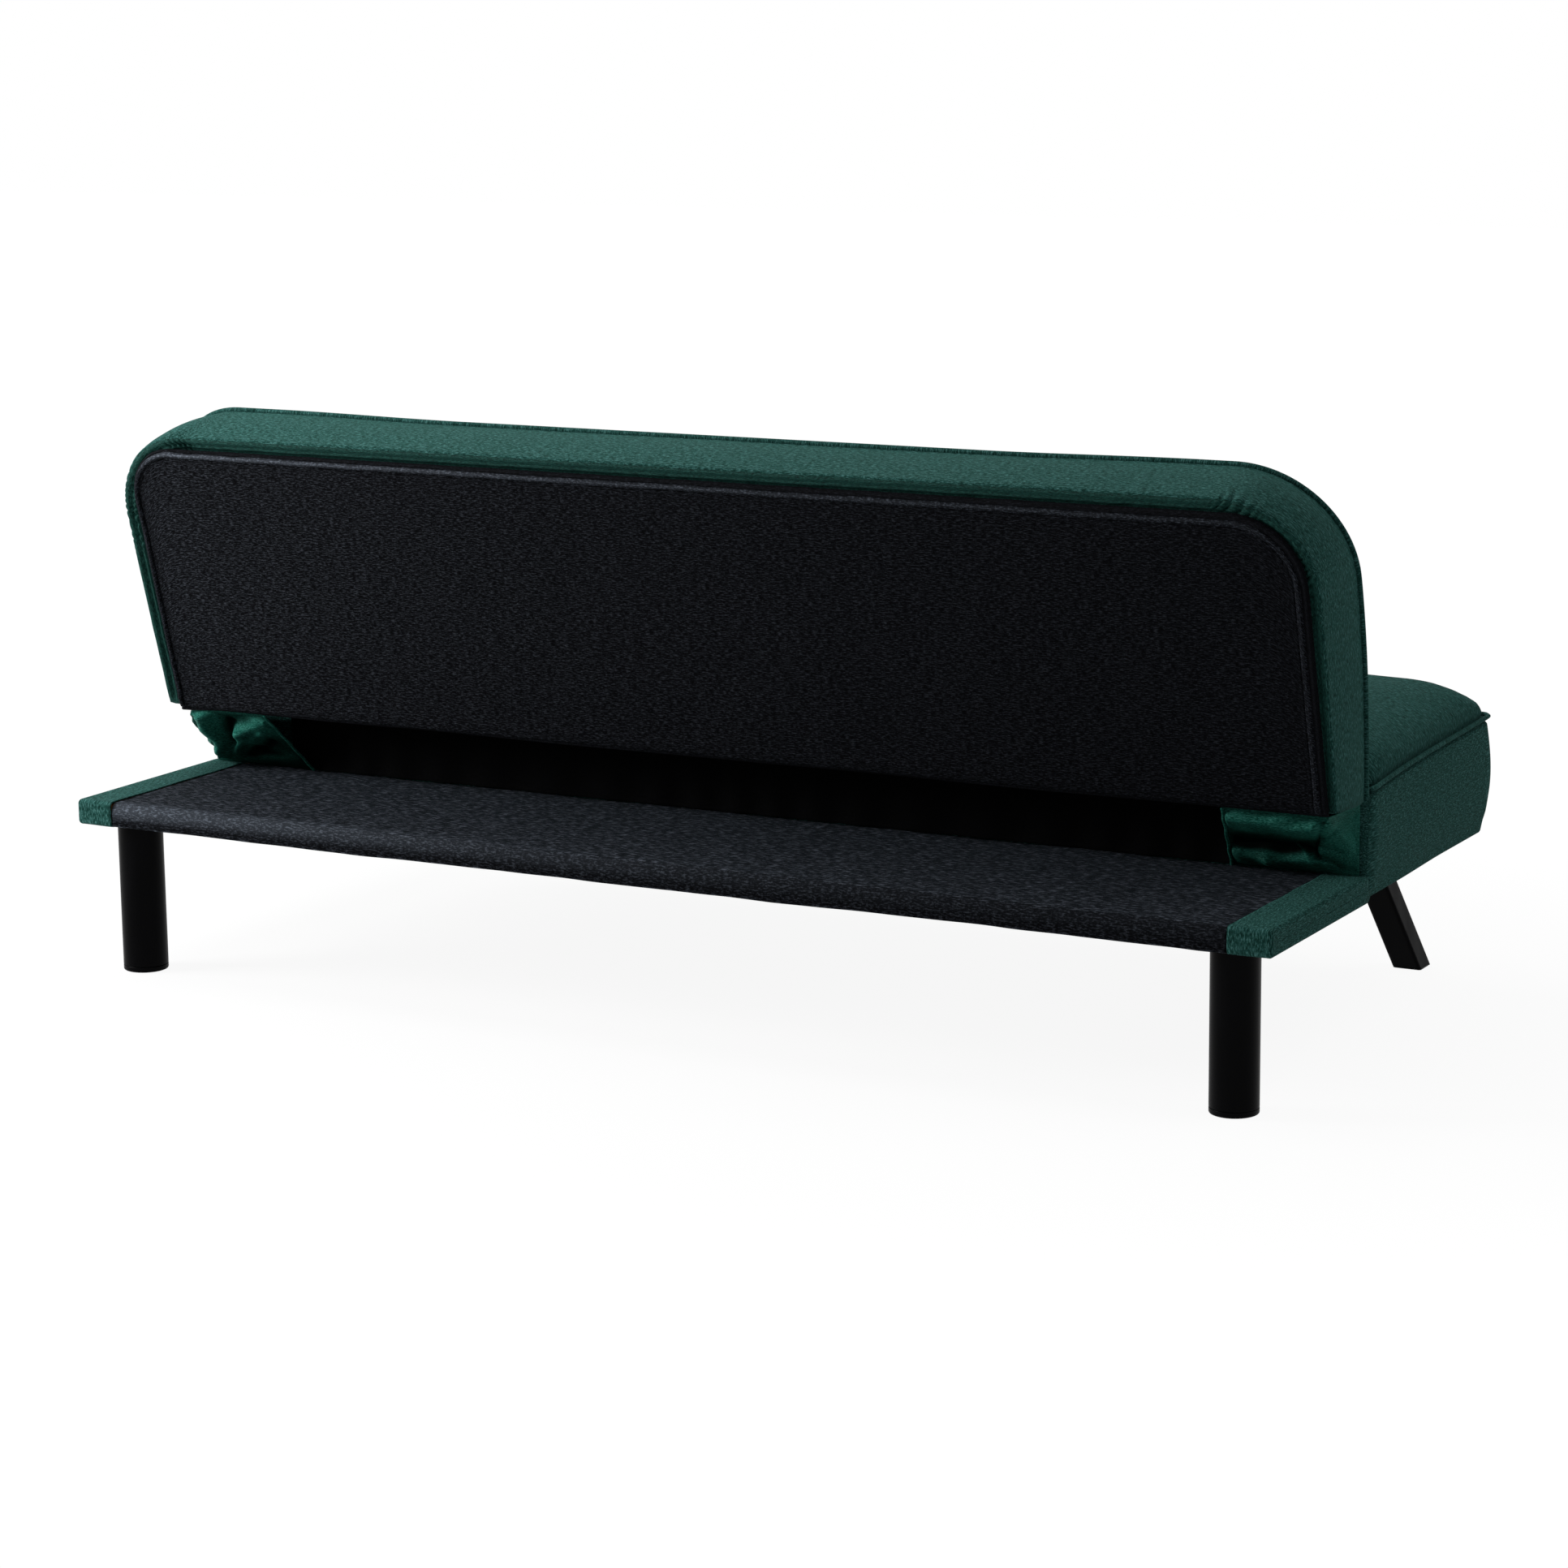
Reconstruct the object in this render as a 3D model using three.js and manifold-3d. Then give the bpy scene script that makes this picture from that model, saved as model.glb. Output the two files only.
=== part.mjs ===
// A click clack sofa bed: a seat on a low base, a back that folds down onto the base's rear ledge,
// and a toothed hinge with a pawl at each end. Millimetres, +Z up, the sitter faces -Y.
// The origin is on the floor, under the middle of the whole sofa.
import * as THREE from "three";
import { mergeVertices } from "three/addons/utils/BufferGeometryUtils.js";
import Module from "manifold-3d";

const wasm = await Module();
wasm.setup();

// Driving dimensions
const width = 1800; // over the ends of the ledge
const depth = 867; // from the front feet to the ledge's rear edge
const clearance = 0.3; // between pieces that touch
const overrun = 4; // how far a cutter passes a face
const recline = THREE.MathUtils.degToRad(15); // of the back's rear face when sitting

// Base and ledge
const ledge_underside = 213.9;
const ledge_thickness = 33.6;
const ledge_depth = 323;
const ledge_edge_radius = 9;
const cover_thickness = 2.5; // fabric with its lining
const cover_underlap = 90; // how far the cover is turned under the ledge
const end_strip_width = 57.5; // the green wrap at each end
const deck_thickness = 4;
const bearer_width = 98;
const base_rail_width = 70;
const centre_bearer_width = 60;
const centre_bearer_share = 1 / 3; // of the half width, to each centre bearer's middle
const dust_cover_thickness = 1.5;
const dust_cover_lap = 5;

// Seat
const seat_front_setback = 87; // of the front welt, behind the front feet
const seat_rear_gap = 1.5; // between the ledge's end wrap and the seat
const seat_welt_height = 376;
const seat_crown = 44;
const seat_rear_drop = 10; // the top edge is lower beside the back
const seat_rear_lean = 24; // the rear wall leans away from the back
const seat_side_bulge = 6;
const seat_front_bulge = 17;
const seat_front_tuck = 34; // the rounded lower front edge
const seat_corner_radius = 46;
const seat_wall = 12;
const seat_front_wall = 50; // the foam roll in front of the seat's frame
const seat_rear_wall = 16;
const seat_underside = 216.4;
const foam_edge_thickness = 31; // at the welt
const rail_thickness = 24;
const seat_rail_height = 79.6;
const seat_rail_stop = 9.4; // from the rear rail's end to the hinge's slot
const spring_wire = 3.6;
const spring_swing = 25;
const spring_arch = 11;
const spring_bends = 7;
const spring_calm_share = 0.12; // of the length, at each end, where the bends grow to full width
const spring_place_shares = [-2 / 3, -1 / 3, 0, 1 / 3, 2 / 3]; // of the half width, from the middle
const welt_radius = 4;
const welt_seat = 3.2; // how far the welt's centre stands off the edge, each way

// Pivot of the back
const pivot_setback = 21; // behind the seat's side of the ledge
const pivot_height = 328;

// Back, in its own reclined frame: up along the rear face, forward square to it, from the pivot
const back_bottom_front = 10;
const back_bottom_rear = 39.6;
const back_top_front = 449;
const back_top_slope = 5; // the top is this much lower along its rear edge
const back_inset = 2.2; // from the ledge's ends
const back_corner_radius = 146;
const back_rear_plane = 68; // the pad's rear face lies this far behind the pivot
const back_front_low = 24.4; // the pad's front edge, forward of the pivot, at its lower end
const back_front_high = 53;
const back_front_belly = 23; // how far that edge curves forward between its ends
const back_side_bulge = 2.2;
const back_top_bulge = 6;
const back_crown = 22;
const back_wall = 16;
const back_frame_front = 39.8; // the wooden frame's front face, behind the pivot
const webbing_thickness = 2.2;
const webbing_width = 50;
const webbing_pitch = 200;
const webbing_rows = 3;
const back_rail_height = 40;
const back_top_rail_height = 92;
const upright_width = 30;
const panel_thickness = 6;
const panel_border = 18.8; // of green beside the panel
const panel_top_border = 13;
const panel_corner_radius = 112;
const piping_radius = 4;

// Hinges
const plate_thickness = 4;
const arm_thickness = 5;
const pivot_pin_radius = 5;
const pawl_pin_radius = 4;
const pin_play = 0.3;
const pin_head_radius = 9;
const pin_head_thickness = 3;
const pin_inner_head_radius = 7.2;
const tooth_tip_radius = 30;
const notch_depth = 6;
const notch_mouth = 11;
const notch_floor = 8.4;
const notch_angles = [0, 37.5, 75]; // degrees of fold at which the pawl can drop in
const release_angle = -15; // pulled this far forward, the back lets the pawl go past the first notch
const sector_margin = 11; // degrees of rim beyond the first and last notch
const pawl_lift = 1.2; // between the lifted nose and the tooth tips
const pawl_reach = 38; // the pawl's pin is this far in front of the pivot
const pawl_pin_drop = 34;
const nose_tip_width = 4.4;
const nose_root_width = 7;
const nose_height = 11;
const pawl_heel_radius = 8;
const pawl_toe_radius = 5;
const plate_boss_radius = 15;
const plate_pawl_radius = 12;
const plate_tab_reach = 108; // the seat plate's tab, in front of the pivot
const plate_tab_drop = 41;
const plate_tab_radius = 17;
const screw_hole_radius = 3;
const arm_radius = 12;
const arm_knee = 62; // up the back, where the arm meets its upright
const arm_top = 262;
const slot_play = 2; // beside a hinge, in the slots that it passes through
const torsion_wire = 1.6;
const torsion_turns = 3;
const torsion_radius = 6.4;
const torsion_pitch = 2.5;

// Gussets and curtain, the gathered cloth between back and ledge
const cloth_thickness = 2.2;
const gusset_width = 177; // of its rear face
const gusset_inset = 7; // from the ledge's ends
const gusset_top_advance = 95; // its upper edge stands behind the seat by this much
const gusset_foot_advance = 6;
const gusset_fold = 4.5;
const gusset_folds = 3;
const gusset_draw = 2; // the end wrap is drawn in at its middle
const gusset_turn_share = 0.66; // of its width faces the rear; the rest wraps the end
const curtain_foot_advance = 3;
const curtain_head_advance = 11;
const curtain_fold = 2.2;
const curtain_folds = 10;

// Legs
const rear_leg_radius = 31.6;
const rear_leg_inset = 67.5; // of its axis, from the ledge's end
const rear_leg_from_edge = 52;
const rear_leg_wall = 3;
const rear_leg_top_wall = 8;
const rear_leg_edge = 2;
const glide_height = 8;
const glide_spigot = 14;
const bolt_radius = 4;
const bolt_head_radius = 7;
const bolt_head_height = 5;
const bolt_bite = 18; // into the bearer
const foot_size = 41.5; // across the front foot, level with the floor
const foot_inset = 129.3; // of the foot's middle, from the sofa's end
const foot_lean = 0.59; // forward for each unit down
const foot_splay = 0.168; // outward for each unit down
const foot_wall = 2;
const foot_cap_height = 3;
const foot_cap_plug = 10;
const leg_plate_thickness = 4;
const leg_plate_length = 116;
const leg_plate_width = 72;
const leg_plate_corner = 8;
const leg_bolt_head = 6;
const leg_bolt_rise = 4;
const leg_bolt_inset = 12;

// Facets and grids
const round_facets = 20;
const small_facets = 8;
const tube_facets = 6;
const seat_columns = 22;
const back_columns = 24;
const wall_shares = [0, 0.14, 0.3, 0.52, 0.76, 1];
const gusset_grid = [20, 12]; // squares across and down
const curtain_grid = [40, 3];

// Places worked out from the driving dimensions
const half_width = width / 2;
const seat_front = depth - seat_front_setback;
const pivot_reach = ledge_depth - pivot_setback;
const back_half_width = half_width - back_inset;
const back_top_rear = back_top_front - back_top_slope;
const panel_half_width = back_half_width - panel_border;
const panel_top = back_top_rear - panel_top_border;
const gusset_outer = half_width - gusset_inset;
const gusset_inner = gusset_outer - gusset_width;
const centre_bearer_offset = half_width * centre_bearer_share;
const rear_edge = depth / 2;
const fromRear = (reach) => rear_edge - reach;
const ledge_top = ledge_underside + ledge_thickness;
const base_low = ledge_underside + cover_thickness + clearance;
const deck_top = ledge_top - cover_thickness - clearance;
const base_high = deck_top - deck_thickness - clearance;
const bearer_outer = half_width - seat_wall - clearance;
const bearer_inner = bearer_outer - bearer_width;
const base_front = seat_front - seat_front_wall - clearance;
const seat_rear = ledge_depth + seat_rear_gap;
const seat_rail_low = base_high + clearance;
const seat_rail_high = seat_rail_low + seat_rail_height;
const seat_cavity_rear = seat_rear + seat_rear_wall;
const foam_underside = seat_welt_height - foam_edge_thickness;
const rail_inner = bearer_outer - rail_thickness;
const plate_inner = rail_inner - clearance - plate_thickness;
const arm_inner = plate_inner - clearance - arm_thickness;
const spring_room = torsion_turns * torsion_pitch + torsion_wire + clearance;
const pivot_pin_inner = arm_inner - clearance - pin_head_thickness;
const pawl_pin_inner = pivot_pin_inner - spring_room;
const slot_inner = pawl_pin_inner - slot_play;
const seat_rail_reach = slot_inner - seat_rail_stop;
const slot_outer = plate_inner + plate_thickness + clearance + pin_head_thickness + slot_play;
const upright_outer = arm_inner - clearance;
const pivot_y = fromRear(pivot_reach);
const pawl_pin_y = pivot_y - pawl_reach;
const pawl_pin_z = pivot_height - pawl_pin_drop;
const frame_rear = back_rear_plane - clearance;
const cavity_front = back_frame_front - webbing_thickness - clearance;
const dust_low = base_low - dust_cover_thickness - clearance;
const leg_plate_low = dust_low - clearance - leg_plate_thickness;
const panel_rear = back_rear_plane + clearance + panel_thickness;
const pad_low = pivot_height + back_bottom_front * Math.cos(recline) + back_front_low * Math.sin(recline);

const colours = {
  green: new THREE.MeshStandardMaterial({ color: 0x1f5a4e, roughness: 0.85, metalness: 0 }),
  black: new THREE.MeshStandardMaterial({ color: 0x1b1d22, roughness: 0.9, metalness: 0 }),
  lining: new THREE.MeshStandardMaterial({ color: 0x121214, roughness: 0.95, metalness: 0 }),
  wood: new THREE.MeshStandardMaterial({ color: 0xb98f5e, roughness: 0.7, metalness: 0 }),
  webbing: new THREE.MeshStandardMaterial({ color: 0x4a4640, roughness: 0.9, metalness: 0 }),
  plastic: new THREE.MeshStandardMaterial({ color: 0x101113, roughness: 0.45, metalness: 0 }),
  paint: new THREE.MeshStandardMaterial({ color: 0x0e0f10, roughness: 0.35, metalness: 0.6 }),
  zinc: new THREE.MeshStandardMaterial({ color: 0x9aa0a5, roughness: 0.4, metalness: 0.9 }),
};

// Geometry helpers

function toSolid(geometry) {
  const bare = geometry.index ? geometry.toNonIndexed() : geometry.clone();
  bare.deleteAttribute("normal");
  bare.deleteAttribute("uv");
  const merged = mergeVertices(bare, 1e-3);
  const source = new wasm.Mesh({
    numProp: 3,
    vertProperties: merged.attributes.position.array,
    triVerts: new Uint32Array(merged.index.array),
  });
  return new wasm.Manifold(source);
}

function toGeometry(solid) {
  const source = solid.getMesh();
  const geometry = new THREE.BufferGeometry();
  geometry.setAttribute("position", new THREE.BufferAttribute(source.vertProperties, 3));
  geometry.setIndex(new THREE.BufferAttribute(source.triVerts, 1));
  geometry.computeVertexNormals();
  return geometry;
}

function joined(first, ...others) {
  return toGeometry(others.reduce((solid, other) => solid.add(toSolid(other)), toSolid(first)));
}

function cut(first, ...cutters) {
  return toGeometry(cutters.reduce((solid, cutter) => solid.subtract(toSolid(cutter)), toSolid(first)));
}

// A block between two corners
function block(x0, x1, y0, y1, z0, z1) {
  const geometry = new THREE.BoxGeometry(x1 - x0, y1 - y0, z1 - z0);
  return geometry.translate((x0 + x1) / 2, (y0 + y1) / 2, (z0 + z1) / 2);
}

// The same block at the right end and the left end
function bothEnds(x0, x1, ...sides) {
  return [block(x0, x1, ...sides), block(-x1, -x0, ...sides)];
}

// A shape drawn in (y, z), carried along x
function alongX(shape, x0, x1, curveSegments = small_facets) {
  const geometry = new THREE.ExtrudeGeometry(shape, { depth: x1 - x0, bevelEnabled: false, curveSegments });
  const turn = new THREE.Matrix4().set(0, 0, 1, x0, 1, 0, 0, 0, 0, 1, 0, 0, 0, 0, 0, 1);
  return geometry.applyMatrix4(turn);
}

// A shape drawn in (x, z), carried from the rear towards the front, between two distances behind y = 0
function towardsFront(shape, rear, front, curveSegments = small_facets) {
  const geometry = new THREE.ExtrudeGeometry(shape, { depth: rear - front, bevelEnabled: false, curveSegments });
  return geometry.rotateX(Math.PI / 2).translate(0, rear, 0);
}

function rodAlongX(radius, x0, x1, y, z, facets = round_facets) {
  const geometry = new THREE.CylinderGeometry(radius, radius, x1 - x0, facets);
  return geometry.rotateZ(-Math.PI / 2).translate((x0 + x1) / 2, y, z);
}

function rodAlongZ(radius, z0, z1, x, y, facets = round_facets) {
  const geometry = new THREE.CylinderGeometry(radius, radius, z1 - z0, facets);
  return geometry.rotateX(Math.PI / 2).translate(x, y, (z0 + z1) / 2);
}

// Two circles and the two lines that touch both, as on a flat steel link
function linkShape(from, to, from_radius, to_radius) {
  const shape = new THREE.Shape();
  const along = Math.atan2(to[1] - from[1], to[0] - from[0]);
  const length = Math.hypot(to[0] - from[0], to[1] - from[1]);
  const lean = Math.acos((from_radius - to_radius) / length);
  shape.absarc(from[0], from[1], from_radius, along + lean, along - lean + 2 * Math.PI, false);
  shape.absarc(to[0], to[1], to_radius, along - lean, along + lean, false);
  shape.closePath();
  return shape;
}

// A rounded tube along points
function tube(points, radius, facets = tube_facets) {
  const steps = points.length - 1;
  const section = new THREE.Shape();
  for (let i = 0; i < facets; i++) {
    const angle = (2 * Math.PI * i) / facets;
    const [a, b] = [radius * Math.cos(angle), radius * Math.sin(angle)];
    if (i) section.lineTo(a, b);
    else section.moveTo(a, b);
  }
  section.closePath();
  const path = new THREE.CatmullRomCurve3(points, false, "centripetal");
  path.getUtoTmapping = (share) => share; // a ring at each point, close together where the points are
  return new THREE.ExtrudeGeometry(section, { steps, extrudePath: path, curveSegments: 1 });
}

// A cushion over the grid (a, b) with its height c: a crowned face, walls in levels, and a flat underside.
// rows lists the grid's values of b, half(b) its half width there, face(u, v, a, b) its height, and
// wall(share, normal, edge, b) gives how far the wall has moved along a and b there, and its height.
function cushion({ columns, rows, half, face, wall, place }) {
  const points = [];
  const faces = [];
  const count = rows.length;
  const edge_share = (i) => Math.sin((Math.PI / 2) * ((2 * i) / columns - 1));
  rows.forEach((b, j) => {
    const v = (2 * (b - rows[0])) / (rows[count - 1] - rows[0]) - 1;
    for (let i = 0; i <= columns; i++) {
      const u = edge_share(i);
      points.push([u * half(b), b, face(u, v, u * half(b), b)]);
    }
  });
  const at = (i, j) => j * (columns + 1) + i;
  for (let j = 0; j < count - 1; j++)
    for (let i = 0; i < columns; i++)
      faces.push([at(i, j), at(i + 1, j), at(i + 1, j + 1)], [at(i, j), at(i + 1, j + 1), at(i, j + 1)]);
  const loop = [];
  for (let i = 0; i < columns; i++) loop.push(at(i, 0));
  for (let j = 0; j < count - 1; j++) loop.push(at(columns, j));
  for (let i = columns; i > 0; i--) loop.push(at(i, count - 1));
  for (let j = count - 1; j > 0; j--) loop.push(at(0, j));
  const normals = loop.map((_, n) => {
    const before = points[loop[(n + loop.length - 1) % loop.length]];
    const after = points[loop[(n + 1) % loop.length]];
    const normal = new THREE.Vector2(after[1] - before[1], before[0] - after[0]);
    return normal.normalize();
  });
  let above = loop;
  for (const share of wall_shares.slice(1)) {
    const below = loop.map((index, n) => {
      const [a, b, c] = points[index];
      const [shift_a, shift_b, height] = wall(share, normals[n], c, b);
      points.push([a + shift_a, b + shift_b, height]);
      return points.length - 1;
    });
    loop.forEach((_, n) => {
      const m = (n + 1) % loop.length;
      faces.push([above[n], below[n], below[m]], [above[n], below[m], above[m]]);
    });
    above = below;
  }
  const contour = above.map((index) => new THREE.Vector2(points[index][0], points[index][1]));
  for (const [p, q, r] of THREE.ShapeUtils.triangulateShape(contour, []))
    faces.push([above[p], above[r], above[q]]);
  const geometry = new THREE.BufferGeometry();
  const flat = faces.flat().flatMap((index) => place(...points[index]));
  return geometry.setAttribute("position", new THREE.Float32BufferAttribute(flat, 3));
}

// A sheet of cloth with a thickness: middle(u, v) gives a point and its normal for shares u and v
function clothSheet(across, down, thickness, middle) {
  const sides = [thickness / 2, -thickness / 2].map((offset) => {
    const grid = [];
    for (let j = 0; j <= down; j++)
      for (let i = 0; i <= across; i++) {
        const [point, normal] = middle(i / across, j / down);
        grid.push(point.clone().addScaledVector(normal, offset));
      }
    return grid;
  });
  const at = (i, j) => j * (across + 1) + i;
  const flat = [];
  const quad = (p, q, r, s) => flat.push(p, r, q, p, s, r);
  const [outer, inner] = sides;
  for (let j = 0; j < down; j++)
    for (let i = 0; i < across; i++) {
      const corners = [at(i, j), at(i, j + 1), at(i + 1, j + 1), at(i + 1, j)];
      quad(...corners.map((index) => outer[index]));
      quad(...corners.reverse().map((index) => inner[index]));
    }
  const rim = [];
  for (let j = 0; j < down; j++) rim.push(at(0, j));
  for (let i = 0; i < across; i++) rim.push(at(i, down));
  for (let j = down; j > 0; j--) rim.push(at(across, j));
  for (let i = across; i > 0; i--) rim.push(at(i, 0));
  rim.forEach((index, n) => {
    const next = rim[(n + 1) % rim.length];
    quad(outer[index], inner[index], inner[next], outer[next]);
  });
  const geometry = new THREE.BufferGeometry();
  return geometry.setFromPoints(flat);
}

function named(name, geometry, material) {
  const mesh = new THREE.Mesh(geometry, material);
  mesh.name = name;
  return mesh;
}

// The same piece at each end: the right one as drawn, the left one mirrored
function pair(name, geometry, material) {
  const right = named(name + "_right", geometry, material);
  const left = named(name + "_left", geometry, material);
  left.scale.x = -1;
  return [left, right];
}

// Base, ledge and dust cover

function ledgeProfile(inset, reach) {
  const shape = new THREE.Shape();
  const radius = ledge_edge_radius - inset;
  const rear = rear_edge - inset;
  const low = ledge_underside + inset;
  const high = ledge_top - inset;
  shape.moveTo(fromRear(reach), low);
  shape.lineTo(rear - radius, low);
  shape.absarc(rear - radius, low + radius, radius, -Math.PI / 2, 0, false);
  shape.absarc(rear - radius, high - radius, radius, 0, Math.PI / 2, false);
  shape.lineTo(fromRear(reach), high);
  shape.closePath();
  return shape;
}

function ledgeCover(x0, x1, hollow_x0, hollow_x1) {
  const facets = tube_facets;
  const outside = alongX(ledgeProfile(0, ledge_depth), x0, x1, facets);
  const inside = alongX(ledgeProfile(cover_thickness, ledge_depth + overrun), hollow_x0, hollow_x1, facets);
  const past = x1 + overrun;
  const open = block(x0 - overrun, hollow_x1, fromRear(ledge_depth + overrun), fromRear(cover_underlap),
    ledge_underside - overrun, base_low);
  const ends = block(hollow_x0, Math.min(hollow_x1, past), fromRear(ledge_depth + overrun),
    fromRear(cover_underlap), ledge_underside - overrun, base_low);
  return [outside, inside, hollow_x0 < x0 ? open : ends];
}

function basePieces() {
  const strip_inner = half_width - end_strip_width;
  const black_edge = strip_inner - clearance;
  const leg_x = half_width - rear_leg_inset;
  const leg_y = fromRear(rear_leg_from_edge);
  const bolt_holes = [-leg_x, leg_x].map((x) =>
    rodAlongZ(bolt_radius + clearance, ledge_underside - overrun, base_low, x, leg_y));
  const black = cut(...ledgeCover(-black_edge, black_edge, -black_edge - overrun, black_edge + overrun),
    ...bolt_holes);
  const green = cut(...ledgeCover(strip_inner, half_width, strip_inner - overrun,
    half_width - cover_thickness));
  const frame_rear_edge = cover_thickness + clearance;
  const deck = block(cover_thickness + clearance - half_width, half_width - cover_thickness - clearance,
    fromRear(ledge_depth - clearance), fromRear(frame_rear_edge + ledge_edge_radius - cover_thickness),
    deck_top - deck_thickness, deck_top);
  const bearer_rear = frame_rear_edge + ledge_edge_radius - cover_thickness;
  const bolt_top = base_low + bolt_bite;
  const bearer = cut(
    block(bearer_inner, bearer_outer, fromRear(base_front), fromRear(bearer_rear), base_low, base_high),
    rodAlongZ(bolt_radius + clearance, base_low - overrun, bolt_top + clearance, leg_x, leg_y));
  const reach = bearer_inner - clearance;
  const rear_rail = block(-reach, reach, fromRear(bearer_rear + base_rail_width), fromRear(bearer_rear),
    base_low, base_high);
  const front_rail = block(-reach, reach, fromRear(base_front), fromRear(base_front - base_rail_width),
    base_low, base_high);
  const centre_bearer = block(centre_bearer_offset - centre_bearer_width / 2,
    centre_bearer_offset + centre_bearer_width / 2,
    fromRear(base_front - base_rail_width - clearance),
    fromRear(bearer_rear + base_rail_width + clearance), base_low, base_high);
  const dust_cover = block(-bearer_outer + dust_cover_lap, bearer_outer - dust_cover_lap,
    fromRear(base_front - dust_cover_lap), fromRear(cover_underlap + dust_cover_lap),
    dust_low, dust_low + dust_cover_thickness);
  return [
    named("ledge_cover", black, colours.black),
    ...pair("ledge_end_cover", green, colours.green),
    named("ledge_deck", deck, colours.wood),
    ...pair("base_side_bearer", bearer, colours.wood),
    ...pair("base_centre_bearer", centre_bearer, colours.wood),
    named("base_rear_rail", rear_rail, colours.wood),
    named("base_front_rail", front_rail, colours.wood),
    named("seat_dust_cover", dust_cover, colours.lining),
  ];
}

// Seat

const seat_edge_half = half_width - seat_side_bulge;
const seat_rear_edge = seat_rear + seat_rear_lean;

// Half the seat's width at a distance from the ledge's rear edge, with its rounded front corners
function seatHalf(y) {
  const past = seat_corner_radius - (y - fromRear(seat_front));
  if (past <= 0) return seat_edge_half;
  const rise = Math.sqrt(Math.max(0, seat_corner_radius ** 2 - past ** 2));
  return seat_edge_half - seat_corner_radius + rise;
}

function seatRows() {
  const rows = [];
  const corner_steps = 5;
  const length_steps = 9;
  for (let i = 0; i < corner_steps; i++) {
    const angle = (Math.PI / 2) * (i / corner_steps);
    rows.push(fromRear(seat_front) + seat_corner_radius * (1 - Math.cos(angle)));
  }
  const start = fromRear(seat_front - seat_corner_radius);
  const end = fromRear(seat_rear_edge);
  for (let i = 0; i <= length_steps; i++) {
    const share = Math.sin((Math.PI / 2) * (i / length_steps));
    rows.push(start + (end - start) * share);
  }
  return rows;
}

function seatFace(u, v) {
  const edge = seat_welt_height - seat_rear_drop * Math.max(0, v) ** 6;
  return edge + seat_crown * (1 - Math.abs(u) ** 10) * (1 - v ** 4);
}

function seatCushion() {
  const shape = cushion({
    columns: seat_columns,
    rows: seatRows(),
    half: seatHalf,
    face: seatFace,
    wall: (share, normal, edge) => {
      const swell = Math.sin(Math.PI * share);
      const tuck = Math.max(0, share - wall_shares[3]) / (1 - wall_shares[3]);
      const lean = normal.y > 0.5 ? seat_rear_lean * Math.min(1, share / wall_shares[2]) : 0;
      const front = Math.min(0, normal.y) * (seat_front_bulge * swell - seat_front_tuck * tuck ** 2);
      return [normal.x * swell * seat_side_bulge, lean + front, edge + (seat_underside - edge) * share];
    },
    place: (a, b, c) => [a, b, c],
  });
  const inner = half_width - seat_wall;
  const cavity = block(-inner, inner, fromRear(seat_front - seat_front_wall), fromRear(seat_cavity_rear),
    seat_underside - overrun, foam_underside);
  const under_rear = block(-inner, inner, fromRear(seat_cavity_rear + overrun), fromRear(seat_rear - overrun),
    seat_underside - overrun, ledge_top + seat_rear_gap);
  const slots = bothEnds(slot_inner, slot_outer, fromRear(seat_cavity_rear + overrun),
    fromRear(seat_rear - overrun), ledge_top, pivot_height + tooth_tip_radius + overrun);
  const pocket_front = pivot_y - plate_tab_reach - plate_tab_radius - slot_play;
  const pockets = bothEnds(slot_inner, slot_outer, pocket_front, fromRear(seat_cavity_rear),
    ledge_top, pivot_height + plate_boss_radius + clearance);
  return cut(shape, cavity, under_rear, ...slots, ...pockets);
}

function seatWelt() {
  const points = [];
  const rear = fromRear(seat_rear_edge);
  const rows = seatRows().filter((y) => y <= rear);
  const side = rows.map((y, index) => {
    const after = rows[Math.min(index + 1, rows.length - 1)];
    const before = rows[Math.max(index - 1, 0)];
    const slope = new THREE.Vector2(after - before, seatHalf(before) - seatHalf(after)).normalize();
    return [seatHalf(y) + slope.x * welt_seat, y + slope.y * welt_seat, y];
  });
  const height = (y) => {
    const v = (2 * (y - rows[0])) / (rear - rows[0]) - 1;
    return seatFace(1, v) + welt_seat;
  };
  side.reverse().forEach(([x, y, row]) => points.push(new THREE.Vector3(x, y, height(row))));
  side.reverse().forEach(([x, y, row]) => points.push(new THREE.Vector3(-x, y, height(row))));
  return tube(points, welt_radius);
}

function seatFramePieces() {
  const front = fromRear(base_front);
  const side_rear = fromRear(seat_cavity_rear + clearance);
  const side_rail = block(rail_inner, bearer_outer, front, side_rear, seat_rail_low, seat_rail_high);
  const reach = rail_inner - clearance;
  const front_rail = block(-reach, reach, front, front + rail_thickness, seat_rail_low, seat_rail_high);
  const rear_rail = block(-seat_rail_reach, seat_rail_reach, side_rear - rail_thickness, side_rear,
    seat_rail_low, seat_rail_high);
  const pieces = [
    ...pair("seat_side_rail", side_rail, colours.wood),
    named("seat_front_rail", front_rail, colours.wood),
    named("seat_rear_rail", rear_rail, colours.wood),
  ];
  const start = side_rear - rail_thickness / 2;
  const end = front + rail_thickness / 2;
  const level = seat_rail_high + clearance + spring_wire / 2;
  const steps = spring_bends * 4;
  spring_place_shares.forEach((place, index) => {
    const points = [];
    for (let i = 0; i <= steps; i++) {
      const share = i / steps;
      const calm = Math.min(1, share / spring_calm_share, (1 - share) / spring_calm_share);
      points.push(new THREE.Vector3(
        place * half_width + spring_swing * calm * Math.sin(Math.PI * spring_bends * share),
        start + (end - start) * share,
        level + spring_arch * Math.sin(Math.PI * share) ** 2 * calm));
    }
    pieces.push(named("seat_spring_" + (index + 1), tube(points, spring_wire / 2, 4), colours.zinc));
  });
  return pieces;
}

// Back, drawn upright about its pivot; the group that holds it is reclined

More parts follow.
